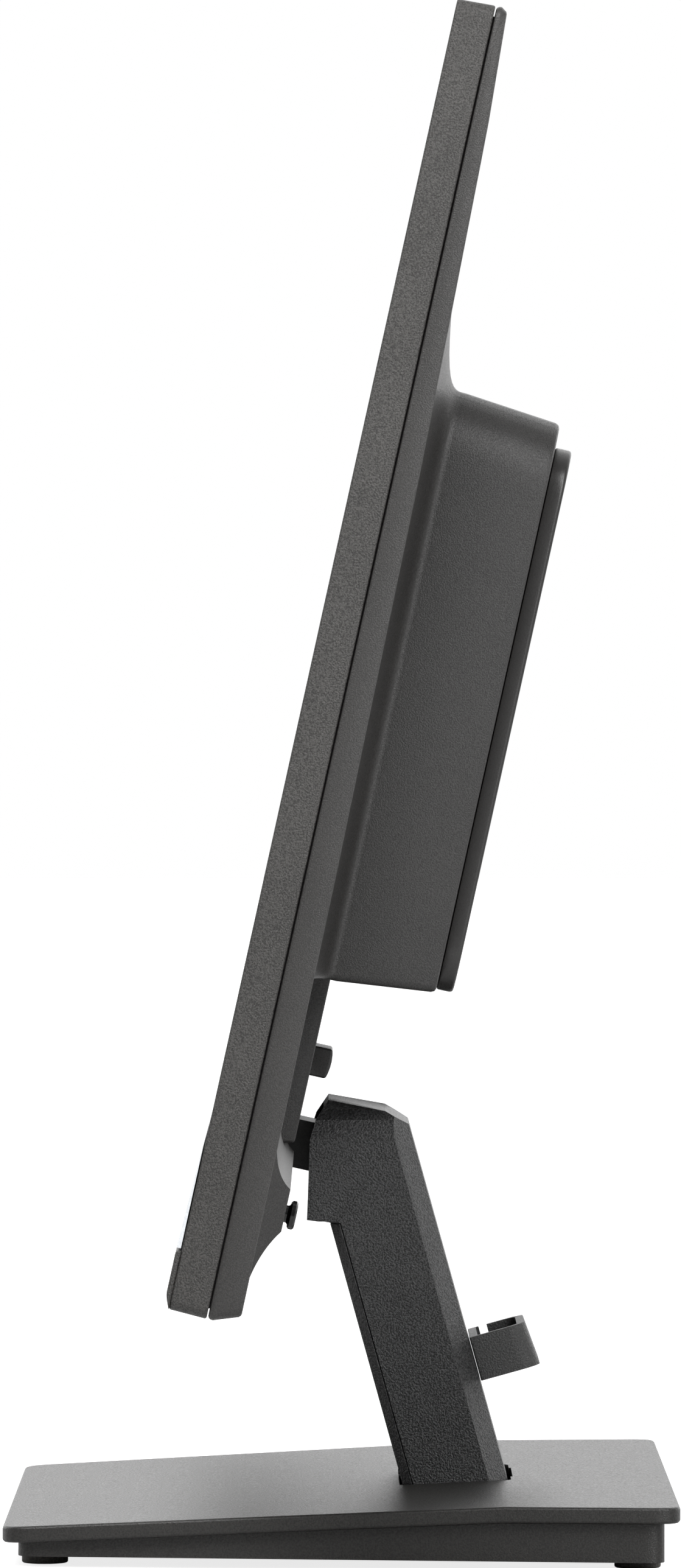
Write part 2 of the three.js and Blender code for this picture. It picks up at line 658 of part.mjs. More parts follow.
function neckFrame() {
  const half = FRAME_THICKNESS / 2;
  const spine = (z) => (neckFront(z) + neckRear(z)) / 2;
  const kneeZ = HINGE_Z - EYE_RADIUS - 4;
  const strip = solidOf(alongX(outline([
    [spine(flangeBottom) - half, flangeBottom],
    [spine(flangeBottom) + half, flangeBottom],
    [spine(kneeZ) + half, kneeZ],
    [spine(kneeZ) - half, kneeZ],
  ]), -FRAME_WIDTH / 2 + GAP, FRAME_WIDTH / 2 - GAP));
  const flange = block(
    [-FLANGE_WIDTH / 2, FLANGE_WIDTH / 2],
    [screwY - FLANGE_DEPTH / 2, screwY + FLANGE_DEPTH / 2],
    [flangeBottom, flangeTop]);
  const lugOutline = new THREE.Shape();
  lugOutline.absarc(HINGE_Y, HINGE_Z, EYE_RADIUS, 0, Math.PI);
  lugOutline.lineTo(HINGE_Y - EYE_RADIUS, HINGE_Z);
  lugOutline.lineTo(spine(kneeZ) - half, kneeZ - 8);
  lugOutline.lineTo(spine(kneeZ) + half, kneeZ - 8);
  lugOutline.lineTo(HINGE_Y + EYE_RADIUS, HINGE_Z);
  const lugs = [lugX, mirrored(lugX)].map(([x0, x1]) => solidOf(alongX(lugOutline, x0, x1, 10)));
  const shelf = solidOf(alongX(outline([
    [spine(kneeZ) - half, kneeZ],
    [spine(kneeZ) - half, kneeZ - 8],
    [spine(kneeZ) + half, kneeZ - 8],
    [spine(kneeZ) + half, kneeZ],
  ]), -lugX[1], lugX[1]));
  const bore = rodX(HINGE_Y, HINGE_Z, PIN_RADIUS + GAP, -NECK_WIDTH, NECK_WIDTH, 8);
  const screwHole = rodZ(0, screwY, SCREW_RADIUS + GAP, 0, flangeTop + PAST, 8);
  return cut(join(strip, flange, shelf, ...lugs), bore, screwHole);
}

function hingeWasher([x0, x1]) {
  const ring = rodX(HINGE_Y, HINGE_Z, EYE_RADIUS - 0.6, x0, x1, 8);
  return cut(ring, rodX(HINGE_Y, HINGE_Z, PIN_RADIUS + GAP, x0 - PAST, x1 + PAST, 8));
}

// A C-shaped clip that holds leads against the back of the neck; it is drawn flat and then leaned
function cableClip() {
  const half = CLIP_WIDTH / 2;
  const spread = (geometry) => solidOf(reshape(geometry, (vertex) => {
    vertex.y += (CLIP_SPREAD * vertex.y / CLIP_REACH) * (0.5 - vertex.z / CLIP_HEIGHT);
  }));
  const loop = spread(alongZ(roundedRectangle(-half, half, 0, CLIP_REACH, 0.6, CLIP_CORNER),
    -CLIP_HEIGHT / 2, CLIP_HEIGHT / 2, 4));
  const hollow = spread(alongZ(
    roundedRectangle(-half + CLIP_WALL, half - CLIP_WALL, CLIP_WALL, CLIP_REACH - CLIP_WALL,
      0.4, CLIP_CORNER - CLIP_WALL),
    -CLIP_HEIGHT, CLIP_HEIGHT, 4));
  const mouth = block(
    [-half - PAST, -half + CLIP_WALL + PAST],
    [CLIP_MOUTH_START, CLIP_MOUTH_START + CLIP_MOUTH],
    [-CLIP_HEIGHT, CLIP_HEIGHT]);
  return cut(loop, hollow, mouth);
}

function neckParts() {
  neckCovers();
  add(stand, 'neck_frame', neckFrame(), FINISH.zincSteel);
  add(stand, 'hinge_washer_right', hingeWasher(washerX), FINISH.zincSteel);
  add(stand, 'hinge_washer_left', hingeWasher(mirrored(washerX)), FINISH.zincSteel);
  const clipGroup = new THREE.Group();
  clipGroup.position.set(0, neckRear(CLIP_Z) + GAP, CLIP_Z);
  clipGroup.rotation.x = NECK_LEAN;
  stand.add(clipGroup);
  add(clipGroup, 'cable_clip', cableClip(), FINISH.grainedPlastic);
}

// ---------------------------------------------------------------- front of the display

const halfDisplay = DISPLAY_WIDTH / 2;
const halfScreen = SCREEN_WIDTH / 2;
const screenTop = DISPLAY_HEIGHT - TOP_BORDER;
const screenBottom = screenTop - SCREEN_HEIGHT;
const displayOutline = (inset) => roundedRectangle(
  -halfDisplay + inset, halfDisplay - inset, inset, DISPLAY_HEIGHT - inset,
  Math.max(BEZEL_CORNER - inset, 0.6));

// Draws the front of the bezel in, so that its sides have draft
function draftBezel(geometry) {
  return solidOf(reshape(geometry, (vertex) => {
    const inset = BEZEL_DRAFT * (1 - Math.min(vertex.y / BEZEL_DEPTH, 1));
    vertex.x -= Math.sign(vertex.x) * inset;
    vertex.z += vertex.z < DISPLAY_HEIGHT / 2 ? inset : -inset;
  }));
}

function frontBezel() {
  const outside = draftBezel(alongY(displayOutline(0), 0, BEZEL_DEPTH, 4));
  const inside = draftBezel(alongY(displayOutline(BEZEL_WALL), BEZEL_FACE, BEZEL_DEPTH + PAST, 3));
  const window = block([-halfScreen, halfScreen], [-PAST, BEZEL_DEPTH], [screenBottom, screenTop]);
  return cut(outside, inside, window);
}

const glassY = [BEZEL_FACE + GAP, BEZEL_FACE + GAP + GLASS_THICKNESS];
const backlightY = [glassY[1] + GAP, glassY[1] + GAP + BACKLIGHT_THICKNESS];
const chassisY = [backlightY[1] + GAP, backlightY[1] + GAP + CHASSIS_THICKNESS];
const panelX = [-halfScreen - PANEL_MARGIN + GAP, halfScreen + PANEL_MARGIN - GAP];
const panelZ = [screenBottom - PANEL_MARGIN, screenTop + PANEL_MARGIN];

function frontChin() {
  const face = solidOf(alongX(outline([
    [-GAP, 2], [-CHIN_PROUD + 0.2, 3.2], [-CHIN_PROUD, 4.4],
    [-CHIN_PROUD, CHIN_HEIGHT - 0.6], [-GAP, CHIN_HEIGHT],
  ]), -halfDisplay + BEZEL_DRAFT, halfDisplay - BEZEL_DRAFT));
  return face;
}

function lensStrip() {
  const foot = CHIN_HEIGHT + GAP;
  return solidOf(alongX(outline([
    [-GAP, foot], [-GAP, foot + STRIP_HEIGHT], [-GAP - 0.15, foot + STRIP_HEIGHT],
    [-CHIN_PROUD, foot],
  ].reverse()), -halfDisplay + BEZEL_DRAFT + STRIP_INSET, halfDisplay - BEZEL_DRAFT - STRIP_INSET));
}

function displayFrontParts() {
  add(display, 'front_bezel', frontBezel(), FINISH.grainedPlastic);
  add(display, 'front_chin', frontChin(), FINISH.satinPlastic);
  add(display, 'front_lens_strip', lensStrip(), FINISH.clearStrip);
  add(display, 'screen_panel', block(panelX, glassY, panelZ), FINISH.screenGlass);
  add(display, 'backlight_unit', block(panelX, backlightY, panelZ), FINISH.whiteSheet);
}

// ---------------------------------------------------------------- back of the display

const coverFront = BEZEL_DEPTH + GAP;

// A block whose outline shrinks from its root to its back. A skin makes the hollow inside it.
function taperedBlock(root, lead, [y0, y1], skin, corners = [4, 4]) {
  const [x0, x1, z0, z1] = root.map((value, index) => value + (index % 2 ? -skin : skin));
  const shape = roundedRectangle(x0, x1, z0, z1,
    Math.max(corners[0] - skin, 0.5), Math.max(corners[1] - skin, 0.5));
  const middle = (z0 + z1) / 2;
  const front = skin ? y0 - PAST : y0;
  const geometry = reshape(alongY(shape, front, y1 - skin, 5), (vertex) => {
    const share = Math.max(vertex.y - y0, 0) / (y1 - y0);
    vertex.x -= Math.sign(vertex.x) * lead[0] * share;
    vertex.z += vertex.z < middle ? lead[1] * share : -lead[2] * share;
  });
  return solidOf(geometry);
}

function rimBody(skin) {
  const front = coverFront - PAST * 2;
  const bends = RIM_BENDS.map(([share, back]) => [back - skin, DISPLAY_HEIGHT * share]).reverse();
  const wedge = solidOf(alongX(outline([
    [front, -PAST], [RIM_BOTTOM_BACK - skin, -PAST], ...bends,
    [RIM_TOP_BACK - skin, DISPLAY_HEIGHT], [RIM_TOP_BACK - skin, DISPLAY_HEIGHT + PAST],
    [front, DISPLAY_HEIGHT + PAST],
  ]), -DISPLAY_WIDTH, DISPLAY_WIDTH));
  const root = [-halfDisplay, halfDisplay, 0, DISPLAY_HEIGHT];
  const lead = [RIM_SIDE_LEAN, RIM_BOTTOM_LEAN, RIM_TOP_LEAN];
  const walls = taperedBlock(root, lead, [coverFront, RIM_BOTTOM_BACK + COVER_WALL], skin,
    [BEZEL_CORNER, BEZEL_CORNER]);
  return common(wedge, walls);
}

function spineBody(skin) {
  const root = [-SPINE_HALF_WIDTH, SPINE_HALF_WIDTH, SPINE_BOTTOM, HOUSING_BOTTOM + COVER_WALL * 4];
  return taperedBlock(root, [SPINE_LEAN, SPINE_LEAN, 0], [coverFront + COVER_WALL, SPINE_BACK], skin);
}

function housingBody(skin) {
  const lean = (HOUSING_BACK - SPINE_BACK) * HOUSING_DRAFT;
  const root = [-HOUSING_HALF_WIDTH, HOUSING_HALF_WIDTH, HOUSING_BOTTOM, HOUSING_TOP];
  const radii = [HOUSING_FOOT_CORNER, HOUSING_CORNER];
  const coveTop = COVE_STEPS.at(-1)[1];
  const walls = taperedBlock(root, [lean, lean, lean], [coveTop, HOUSING_BACK], skin, radii);
  const steps = COVE_STEPS.slice(1).map(([reach, back], index) => {
    const [wideReach, wideBack] = COVE_STEPS[index];
    const wide = [-HOUSING_HALF_WIDTH - wideReach, HOUSING_HALF_WIDTH + wideReach,
      HOUSING_BOTTOM, HOUSING_TOP + wideReach];
    const narrowing = wideReach - reach;
    return taperedBlock(wide, [narrowing, 0, narrowing], [wideBack - skin, back], skin,
      [HOUSING_FOOT_CORNER, HOUSING_CORNER + wideReach]);
  });
  return join(walls, ...steps);
}

function podBody(skin) {
  const back = POD_BACK - skin;
  const floor = coverFront + COVER_WALL;
  const rimBack = RIM_BOTTOM_BACK - skin - 0.4;
  const shape = new THREE.Shape();
  shape.moveTo(floor, POD_FOOT + skin);
  shape.lineTo(rimBack, POD_FOOT + skin);
  shape.quadraticCurveTo(rimBack + 1.2, POD_HEEL - 6 + skin, back, POD_HEEL + skin);
  shape.lineTo(back, POD_CREST - skin);
  shape.quadraticCurveTo(back - POD_HOLLOW, POD_CREST + POD_HOLLOW_UP - skin, rimBack, POD_TOP - skin);
  shape.lineTo(floor, POD_TOP - skin);
  const half = POD_HALF_WIDTH - skin;
  const geometry = reshape(alongX(shape, -half, half, 5), (vertex) => {
    vertex.x -= Math.sign(vertex.x) * Math.max(vertex.y - floor, 0) * POD_END_LEAN;
  });
  return solidOf(geometry);
}

function hingePocket(skin) {
  return block(
    [-POCKET_HALF_WIDTH - skin, POCKET_HALF_WIDTH + skin],
    [POCKET_BACK - skin, HOUSING_BACK + PAST],
    [-PAST, POCKET_TOP + skin]);
}

const coverBody = (skin) =>
  join(rimBody(skin), cut(join(spineBody(skin), podBody(skin)), hingePocket(skin)), housingBody(skin));

const bracketZ = [HINGE_UP - ARM_DROP - ARM_HEIGHT / 2, HINGE_UP - ARM_DROP + ARM_HEIGHT / 2];

function ventSlots() {
  const slots = [];
  for (let i = 0; i < VENT_COUNT; i += 1) {
    const x = (i - (VENT_COUNT - 1) / 2) * VENT_PITCH;
    slots.push(block(
      [x - VENT_WIDTH / 2, x + VENT_WIDTH / 2],
      [VENT_FROM, VENT_TO],
      [HOUSING_TOP - HOUSING_CORNER, HOUSING_TOP + PAST]));
  }
  return slots;
}

const socketFoot = HOUSING_BOTTOM + HOUSING_DRAFT * (SOCKET_Y - SPINE_BACK);

function socketSolid({ x, width, depth, tongue }) {
  const top = socketFoot + SOCKET_LENGTH;
  const can = block([x - width / 2, x + width / 2], [SOCKET_Y - depth / 2, SOCKET_Y + depth / 2],
    [socketFoot - 0.5, top]);
  const throat = block(
    [x - width / 2 + SOCKET_WALL, x + width / 2 - SOCKET_WALL],
    [SOCKET_Y - depth / 2 + SOCKET_WALL, SOCKET_Y + depth / 2 - SOCKET_WALL],
    [socketFoot - PAST, top - SOCKET_WALL]);
  const hollowCan = cut(can, throat);
  if (!tongue) return hollowCan;
  const blade = block([x - tongue[0] / 2, x + tongue[0] / 2],
    [SOCKET_Y - tongue[1] / 2, SOCKET_Y + tongue[1] / 2],
    [socketFoot + 0.8, top - SOCKET_WALL / 2]);
  return join(hollowCan, blade);
}

function socketHoles() {
  return SOCKETS.map(({ x, width, depth }) => block(
    [x - width / 2 - GAP, x + width / 2 + GAP],
    [SOCKET_Y - depth / 2 - GAP, SOCKET_Y + depth / 2 + GAP],
    [HOUSING_BOTTOM - PAST * 2, socketFoot + SOCKET_LENGTH / 2]));
}

const plateTop = HOUSING_TOP - HOUSING_DRAFT * (HOUSING_BACK - SPINE_BACK) - PLATE_BELOW_TOP;
const plateBottom = HOUSING_BOTTOM + HOUSING_DRAFT * (HOUSING_BACK - SPINE_BACK) + 0.3;
const plateY = [HOUSING_BACK + GAP, HOUSING_BACK + GAP + PLATE_THICKNESS];
const plateMiddle = (plateTop + plateBottom) / 2;
const screwPlaces = [
  ['plate_screw_top_left', -1, 1],
  ['plate_screw_top_right', 1, 1],
  ['plate_screw_bottom_left', -1, -1],
  ['plate_screw_bottom_right', 1, -1],
].map(([name, sideX, sideZ]) => [
  name,
  sideX * (PLATE_HALF_WIDTH - PLATE_SCREW_INSET),
  sideZ > 0 ? plateTop - PLATE_SCREW_INSET : plateBottom + PLATE_SCREW_INSET,
]);
const mountPlaces = [[-1, -1], [1, -1], [-1, 1], [1, 1]].map(([sideX, sideZ]) =>
  [sideX * MOUNT_PATTERN / 2, plateMiddle + sideZ * MOUNT_PATTERN / 2]);

// A lip all round that reaches forward inside the bezel and closes the seam
function coverLip() {
  const inset = BEZEL_WALL + GAP * 2;
  const span = [coverFront - GAP * 3, coverFront + PAST];
  const outside = solidOf(alongY(displayOutline(inset), ...span, 3));
  return cut(outside, solidOf(alongY(displayOutline(inset + LIP_THICKNESS), span[0] - PAST, span[1] + PAST, 3)));
}

function backCover() {
  const shell = join(cut(coverBody(0), coverBody(COVER_WALL)), coverLip());
  const bracketHole = block(
    [-armX[1] - BRACKET_WINDOW_MARGIN, armX[1] + BRACKET_WINDOW_MARGIN],
    [coverFront, HOUSING_BACK],
    [bracketZ[0] - BRACKET_WINDOW_MARGIN, bracketZ[1] + BRACKET_WINDOW_MARGIN]);
  const stickHole = rodY(STICK_X, STICK_UP, STICK_HOLE_RADIUS, SPINE_BACK - COVER_WALL * 2, SPINE_BACK + PAST, 8);
  const releaseHole = block(
    [-RELEASE_WIDTH / 2 - GAP, RELEASE_WIDTH / 2 + GAP],
    [SPINE_BACK - COVER_WALL * 2, SPINE_BACK + PAST],
    [RELEASE_UP - RELEASE_HEIGHT / 2 - GAP, RELEASE_UP + RELEASE_HEIGHT / 2 + GAP]);
  const plateHoles = screwPlaces.map(([, x, z]) =>
    rodY(x, z, PLATE_SCREW_RADIUS + GAP, HOUSING_BACK - COVER_WALL * 2, HOUSING_BACK + PAST, 5));
  return cut(shell, bracketHole, stickHole, releaseHole, ...plateHoles, ...ventSlots(), ...socketHoles());
}

function rearPlate() {
  const slab = solidOf(alongY(
    roundedRectangle(-PLATE_HALF_WIDTH, PLATE_HALF_WIDTH, plateBottom, plateTop, 1.5, PLATE_CORNER),
    plateY[0], plateY[1], 6));
  const sinkY = plateY[1] - 1.6;
  const screwHoles = screwPlaces.flatMap(([, x, z]) => [
    rodY(x, z, PLATE_SCREW_RADIUS + GAP, plateY[0] - PAST, plateY[1] + PAST, 5),
    rodY(x, z, PLATE_SCREW_HEAD + GAP, sinkY, plateY[1] + PAST, 8),
  ]);
  const mountHoles = mountPlaces.map(([x, z]) =>
    rodY(x, z, MOUNT_HOLE_RADIUS, plateY[0] - PAST, plateY[1] + PAST, 6));
  return cut(slab, ...screwHoles, ...mountHoles);
}

function plateScrew(x, z) {
  const sinkY = plateY[1] - 1.6 + GAP;
  const head = rodY(x, z, PLATE_SCREW_HEAD, sinkY, plateY[1], 8);
  const shank = rodY(x, z, PLATE_SCREW_RADIUS, HOUSING_BACK - COVER_WALL * 2, sinkY + GAP, 5);
  return join(head, shank);
}

function displayBackParts() {
  add(display, 'back_cover', backCover(), FINISH.finePlastic);
  add(display, 'rear_plate', rearPlate(), FINISH.satinPlastic);
  for (const [name, x, z] of screwPlaces) {
    add(display, name, plateScrew(x, z), FINISH.blackSteel);
  }
  for (const socket of SOCKETS) {
    add(display, socket.name, socketSolid(socket), FINISH.socketMetal);
  }
}

// ---------------------------------------------------------------- hinge bracket and chassis

const chassisX = halfScreen - CHASSIS_INSET;
const bracketPlateY = [chassisY[1] + GAP, chassisY[1] + GAP + ARM_THICKNESS];

function chassis() {
  const sheet = block([-chassisX, chassisX], chassisY, [screenBottom, screenTop - CHASSIS_INSET]);
  const window = block(
    [FAN_X - CHASSIS_WINDOW_MARGIN, FAN_X + CHASSIS_WINDOW_MARGIN],
    [chassisY[0] - PAST, chassisY[1] + PAST],
    [FAN_UP - CHASSIS_WINDOW_MARGIN, FAN_UP + CHASSIS_WINDOW_MARGIN]);
  return cut(sheet, window);
}

function hingeBracket() {
  const plate = block([-BRACKET_HALF_WIDTH, BRACKET_HALF_WIDTH], bracketPlateY, BRACKET_PLATE_Z);
  const armOutline = new THREE.Shape();
  armOutline.moveTo(bracketPlateY[0], bracketZ[0]);
  armOutline.lineTo(HINGE_BACK - EYE_RADIUS, bracketZ[0]);
  armOutline.lineTo(HINGE_BACK, HINGE_UP - EYE_RADIUS);
  armOutline.absarc(HINGE_BACK, HINGE_UP, EYE_RADIUS, -Math.PI / 2, Math.PI / 2);
  armOutline.lineTo(HINGE_BACK - EYE_RADIUS, bracketZ[1]);
  armOutline.lineTo(bracketPlateY[0], bracketZ[1]);
  const arms = [armX, mirrored(armX)].map(([x0, x1]) => solidOf(alongX(armOutline, x0, x1, 8)));
  const web = block(
    [-armX[1], armX[1]], [bracketPlateY[0], HINGE_BACK - EYE_RADIUS - 3],
    [bracketZ[1] - ARM_THICKNESS / 2, bracketZ[1]]);
  const bore = rodX(HINGE_BACK, HINGE_UP, PIN_RADIUS + GAP, -NECK_WIDTH, NECK_WIDTH, 8);
  return cut(join(plate, web, ...arms), bore);
}

function hingePin() {
  const shaft = rodX(HINGE_BACK, HINGE_UP, PIN_RADIUS, -nutX[1] + GAP, nutX[1] + PAST, 8);
  const head = rodX(HINGE_BACK, HINGE_UP, NUT_RADIUS, -nutX[1], -nutX[0], 8);
  return join(shaft, head);
}

function hingeNut() {
  const ring = rodX(HINGE_BACK, HINGE_UP, NUT_RADIUS, nutX[0], nutX[1], 2);
  return cut(ring, rodX(HINGE_BACK, HINGE_UP, PIN_RADIUS + GAP, nutX[0] - PAST, nutX[1] + PAST, 8));
}

// ---------------------------------------------------------------- computer inside the housing

const boardZ = [socketFoot + SOCKET_LENGTH + BOARD_ABOVE_SOCKETS, BOARD_TOP];

function heatSink() {
  const sinkBase = block(SINK_X, [BOARD_Y[1] + GAP, BOARD_Y[1] + SINK_BASE], SINK_Z);
  const fins = [];
  for (let i = 0; i < FIN_COUNT; i += 1) {
    const x = SINK_X[0] + PAST + i * FIN_PITCH;
    fins.push(block([x, x + FIN_THICKNESS],
      [BOARD_Y[1] + SINK_BASE - PAST, BOARD_Y[1] + FIN_HEIGHT], SINK_Z));
  }
  const pipeRoom = PIPE_RADIUS + GAP * 2;
  const channel = block(
    [SINK_X[0] - PAST, SINK_X[1] + PAST * 2],
    [BOARD_Y[1] + SINK_BASE, BOARD_Y[1] + PIPE_HEIGHT + pipeRoom],
    [PIPE_UP - pipeRoom, PIPE_UP + pipeRoom]);
  return cut(join(sinkBase, ...fins), channel);
}

function heatPipe() {
  const y = BOARD_Y[1] + PIPE_HEIGHT;
  const fanSide = FAN_X - FAN_SIZE / 2 - PIPE_RADIUS - GAP;
  const path = new THREE.CatmullRomCurve3([
    new THREE.Vector3(SINK_X[0] + 4, y, PIPE_UP),
    new THREE.Vector3(0, y, PIPE_UP),
    new THREE.Vector3(SINK_X[1] + 4, y, PIPE_UP),
    new THREE.Vector3(SINK_X[1] + 28, y, PIPE_UP + 8),
    new THREE.Vector3(fanSide, y, FAN_UP),
  ]);
  return solidOf(new THREE.ExtrudeGeometry(circle(0, 0, PIPE_RADIUS), {
    steps: 16, curveSegments: 4, bevelEnabled: false, extrudePath: path,
  }));
}

function fanHousing() {
  const half = FAN_SIZE / 2;
  const back = FAN_Y + FAN_DEPTH;
  const box = block([FAN_X - half, FAN_X + half], [FAN_Y, back], [FAN_UP - half, FAN_UP + half]);
  const room = rodY(FAN_X, FAN_UP, FAN_TIP_RADIUS + FAN_WALL, FAN_Y + FAN_WALL, back + PAST, 10);
  const outlet = block(
    [FAN_X - FAN_OUTLET_HALF_WIDTH, FAN_X + FAN_OUTLET_HALF_WIDTH],
    [FAN_Y + FAN_WALL, back - FAN_WALL],
    [FAN_UP, FAN_UP + half + PAST]);
  const post = rodY(FAN_X, FAN_UP, FAN_POST_RADIUS, FAN_Y + GAP, FAN_Y + FAN_DEPTH / 3, 4);
  return join(cut(box, room, outlet), post);
}

function fanRotor() {
  const y0 = FAN_Y + FAN_WALL + GAP * 2;
  const y1 = FAN_Y + FAN_DEPTH - FAN_WALL;
  const hub = rodY(FAN_X, FAN_UP, FAN_HUB_RADIUS, y0, y1, 8);
  const bore = rodY(FAN_X, FAN_UP, FAN_POST_RADIUS + GAP, y0 - PAST, FAN_Y + FAN_DEPTH / 3 + GAP, 4);
  const blades = [];
  for (let i = 0; i < FAN_BLADES; i += 1) {
    const blade = new THREE.BoxGeometry(FAN_TIP_RADIUS - FAN_HUB_RADIUS + PAST * 2, y1 - y0 - PAST, FAN_WALL);
    blade.translate((FAN_TIP_RADIUS + FAN_HUB_RADIUS) / 2 - PAST, 0, 0);
    blade.rotateY(i / FAN_BLADES * Math.PI * 2);
    blade.translate(FAN_X, (y0 + y1) / 2, FAN_UP);
    blades.push(solidOf(blade));
  }
  return cut(join(hub, ...blades), bore);
}

const speakerY = [chassisY[1] + GAP * 2, chassisY[1] + GAP * 2 + SPEAKER_THICKNESS];

function insideParts() {
  const boardBack = BOARD_Y[1] + GAP;
  add(display, 'panel_chassis', chassis(), FINISH.zincSteel);
  add(display, 'hinge_bracket', hingeBracket(), FINISH.blackSteel);
  add(display, 'hinge_pin', hingePin(), FINISH.zincSteel);
  add(display, 'hinge_nut', hingeNut(), FINISH.zincSteel);
  add(display, 'mainboard', block(BOARD_X, BOARD_Y, boardZ), FINISH.circuitBoard);
  add(display, 'processor_heat_sink', heatSink(), FINISH.aluminium);
  add(display, 'heat_pipe', heatPipe(), FINISH.copper);
  add(display, 'memory_module', block(MEMORY_X, [boardBack, boardBack + MEMORY_THICKNESS], MEMORY_Z),
    FINISH.circuitBoard);
  add(display, 'wireless_card', block(WIRELESS_X, [boardBack, boardBack + WIRELESS_THICKNESS], WIRELESS_Z),
    FINISH.socketMetal);
  add(display, 'storage_drive', block(...DRIVE_SPANS), FINISH.aluminium);
  add(display, 'power_board', block(...POWER_BOARD_SPANS), FINISH.circuitBoard);
  add(display, 'fan_housing', fanHousing(), FINISH.darkPlastic);
  add(display, 'fan_rotor', fanRotor(), FINISH.darkPlastic);
  for (const [name, side] of [['speaker_left', -1], ['speaker_right', 1]]) {
    const span = SPEAKER_X.map((x) => side * x).sort((a, b) => a - b);
    add(display, name, block(span, speakerY, SPEAKER_Z), FINISH.darkPlastic);
  }
}

// ---------------------------------------------------------------- controls on the back

const controlBoardY = [chassisY[1] + PAST, chassisY[1] + PAST + BOARD_THICKNESS];
const gimbalY = [controlBoardY[1] + GIMBAL_CLEARANCE, controlBoardY[1] + GIMBAL_CLEARANCE + GIMBAL_THICKNESS];
const gimbalMiddle = (gimbalY[0] + gimbalY[1]) / 2;
const aroundStick = (half) => [[STICK_X - half, STICK_X + half], [STICK_UP - half, STICK_UP + half]];

// Circuit board with two posts that carry the rocker's pivots
function controlBoard() {
  const board = block([STICK_X - BOARD_HALF_WIDTH, STICK_X + BOARD_HALF_WIDTH], controlBoardY,
    [STICK_UP - BOARD_HALF_HEIGHT, STICK_UP + BOARD_HALF_HEIGHT]);
  const posts = [-1, 1].map((side) => {
    const near = STICK_X + side * (GIMBAL_HALF + GAP);
    const far = near + side * LIP_THICKNESS;
    return block([Math.min(near, far), Math.max(near, far)], [controlBoardY[0], gimbalY[1] + GAP],
      [STICK_UP - LIP_THICKNESS, STICK_UP + LIP_THICKNESS]);
  });
  const reach = GIMBAL_HALF * 2;
  const bore = rodX(gimbalMiddle, STICK_UP, GIMBAL_PIVOT_RADIUS + GAP, STICK_X - reach, STICK_X + reach, 4);
  return cut(join(board, ...posts), bore);
}

// Outer frame of the gimbal, which rocks the stick up and down
function stickRocker() {
  const [frameX, frameZ] = aroundStick(GIMBAL_HALF);
  const [openX, openZ] = aroundStick(GIMBAL_OPENING);
  const pivotReach = GIMBAL_HALF + LIP_THICKNESS;
  const pivots = rodX(gimbalMiddle, STICK_UP, GIMBAL_PIVOT_RADIUS, STICK_X - pivotReach, STICK_X + pivotReach, 4);
  const opening = block(openX, [gimbalY[0] - PAST, gimbalY[1] + PAST], openZ);
  const bore = rodZ(STICK_X, gimbalMiddle, GIMBAL_PIVOT_RADIUS + GAP / 2, frameZ[0] + GAP, frameZ[1] - GAP, 4);
  return cut(join(block(frameX, gimbalY, frameZ), pivots), opening, bore);
}

// Inner block of the gimbal, which rocks the stick from side to side and guides its press
function stickCradle() {
  const [spanX, spanZ] = aroundStick(GIMBAL_OPENING - GAP);
  const pivotSpan = [STICK_UP - GIMBAL_HALF + GAP * 2, STICK_UP + GIMBAL_HALF - GAP * 2];
  const pivots = rodZ(STICK_X, gimbalMiddle, GIMBAL_PIVOT_RADIUS, ...pivotSpan, 4);
  const bore = rodY(STICK_X, STICK_UP, STICK_PIN_RADIUS + GAP, gimbalY[0] - PAST, gimbalY[1] + PAST, 6);
  return cut(join(block(spanX, gimbalY, spanZ), pivots), bore);
}

function controlStick() {
  const shoulder = gimbalY[1] + STICK_REST_GAP;
  const capFront = STICK_CAP_BACK - STICK_CAP_THICKNESS;
  const pin = rodY(STICK_X, STICK_UP, STICK_PIN_RADIUS, gimbalY[0], shoulder + GAP, 6);
  const shaft = rodY(STICK_X, STICK_UP, STICK_RADIUS, shoulder, capFront + GAP, 8);
  const cap = rodY(STICK_X, STICK_UP, STICK_CAP_RADIUS, capFront, STICK_CAP_BACK, 10);
  return join(pin, shaft, cap);
}

// Button with a slightly domed face, kept in by a flange behind the cover
function releaseButton() {
  const halfWidth = RELEASE_WIDTH / 2;
  const low = RELEASE_UP - RELEASE_HEIGHT / 2;
  const high = RELEASE_UP + RELEASE_HEIGHT / 2;
  const coverInside = SPINE_BACK - COVER_WALL - GAP;
  const side = new THREE.Shape();
  side.moveTo(coverInside - PAST, low);
  side.lineTo(RELEASE_BACK - GAP, low);
  side.quadraticCurveTo(RELEASE_BACK + RELEASE_DOME * 2, RELEASE_UP, RELEASE_BACK, high);
  side.lineTo(coverInside - PAST, high);
  const button = solidOf(alongX(side, -halfWidth, halfWidth, 5));
  const flange = block(
    [-halfWidth - RELEASE_FLANGE, halfWidth + RELEASE_FLANGE],
    [coverInside - RELEASE_FLANGE, coverInside],
    [low - RELEASE_FLANGE, high + RELEASE_FLANGE]);
  return join(button, flange);
}

function controlParts() {
  add(display, 'control_board', controlBoard(), FINISH.circuitBoard);
  add(display, 'stick_rocker', stickRocker(), FINISH.darkPlastic);
  add(display, 'stick_cradle', stickCradle(), FINISH.darkPlastic);
  add(display, 'control_stick', controlStick(), FINISH.glossBlack);
  add(display, 'stand_release_button', releaseButton(), FINISH.satinPlastic);
}

baseParts();
neckParts();
displayFrontParts();
displayBackParts();
insideParts();
controlParts();

export default computer;
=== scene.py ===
"""All-in-one computer: its finished pieces, their finishes and a studio that shows it from its side."""

import json
import math

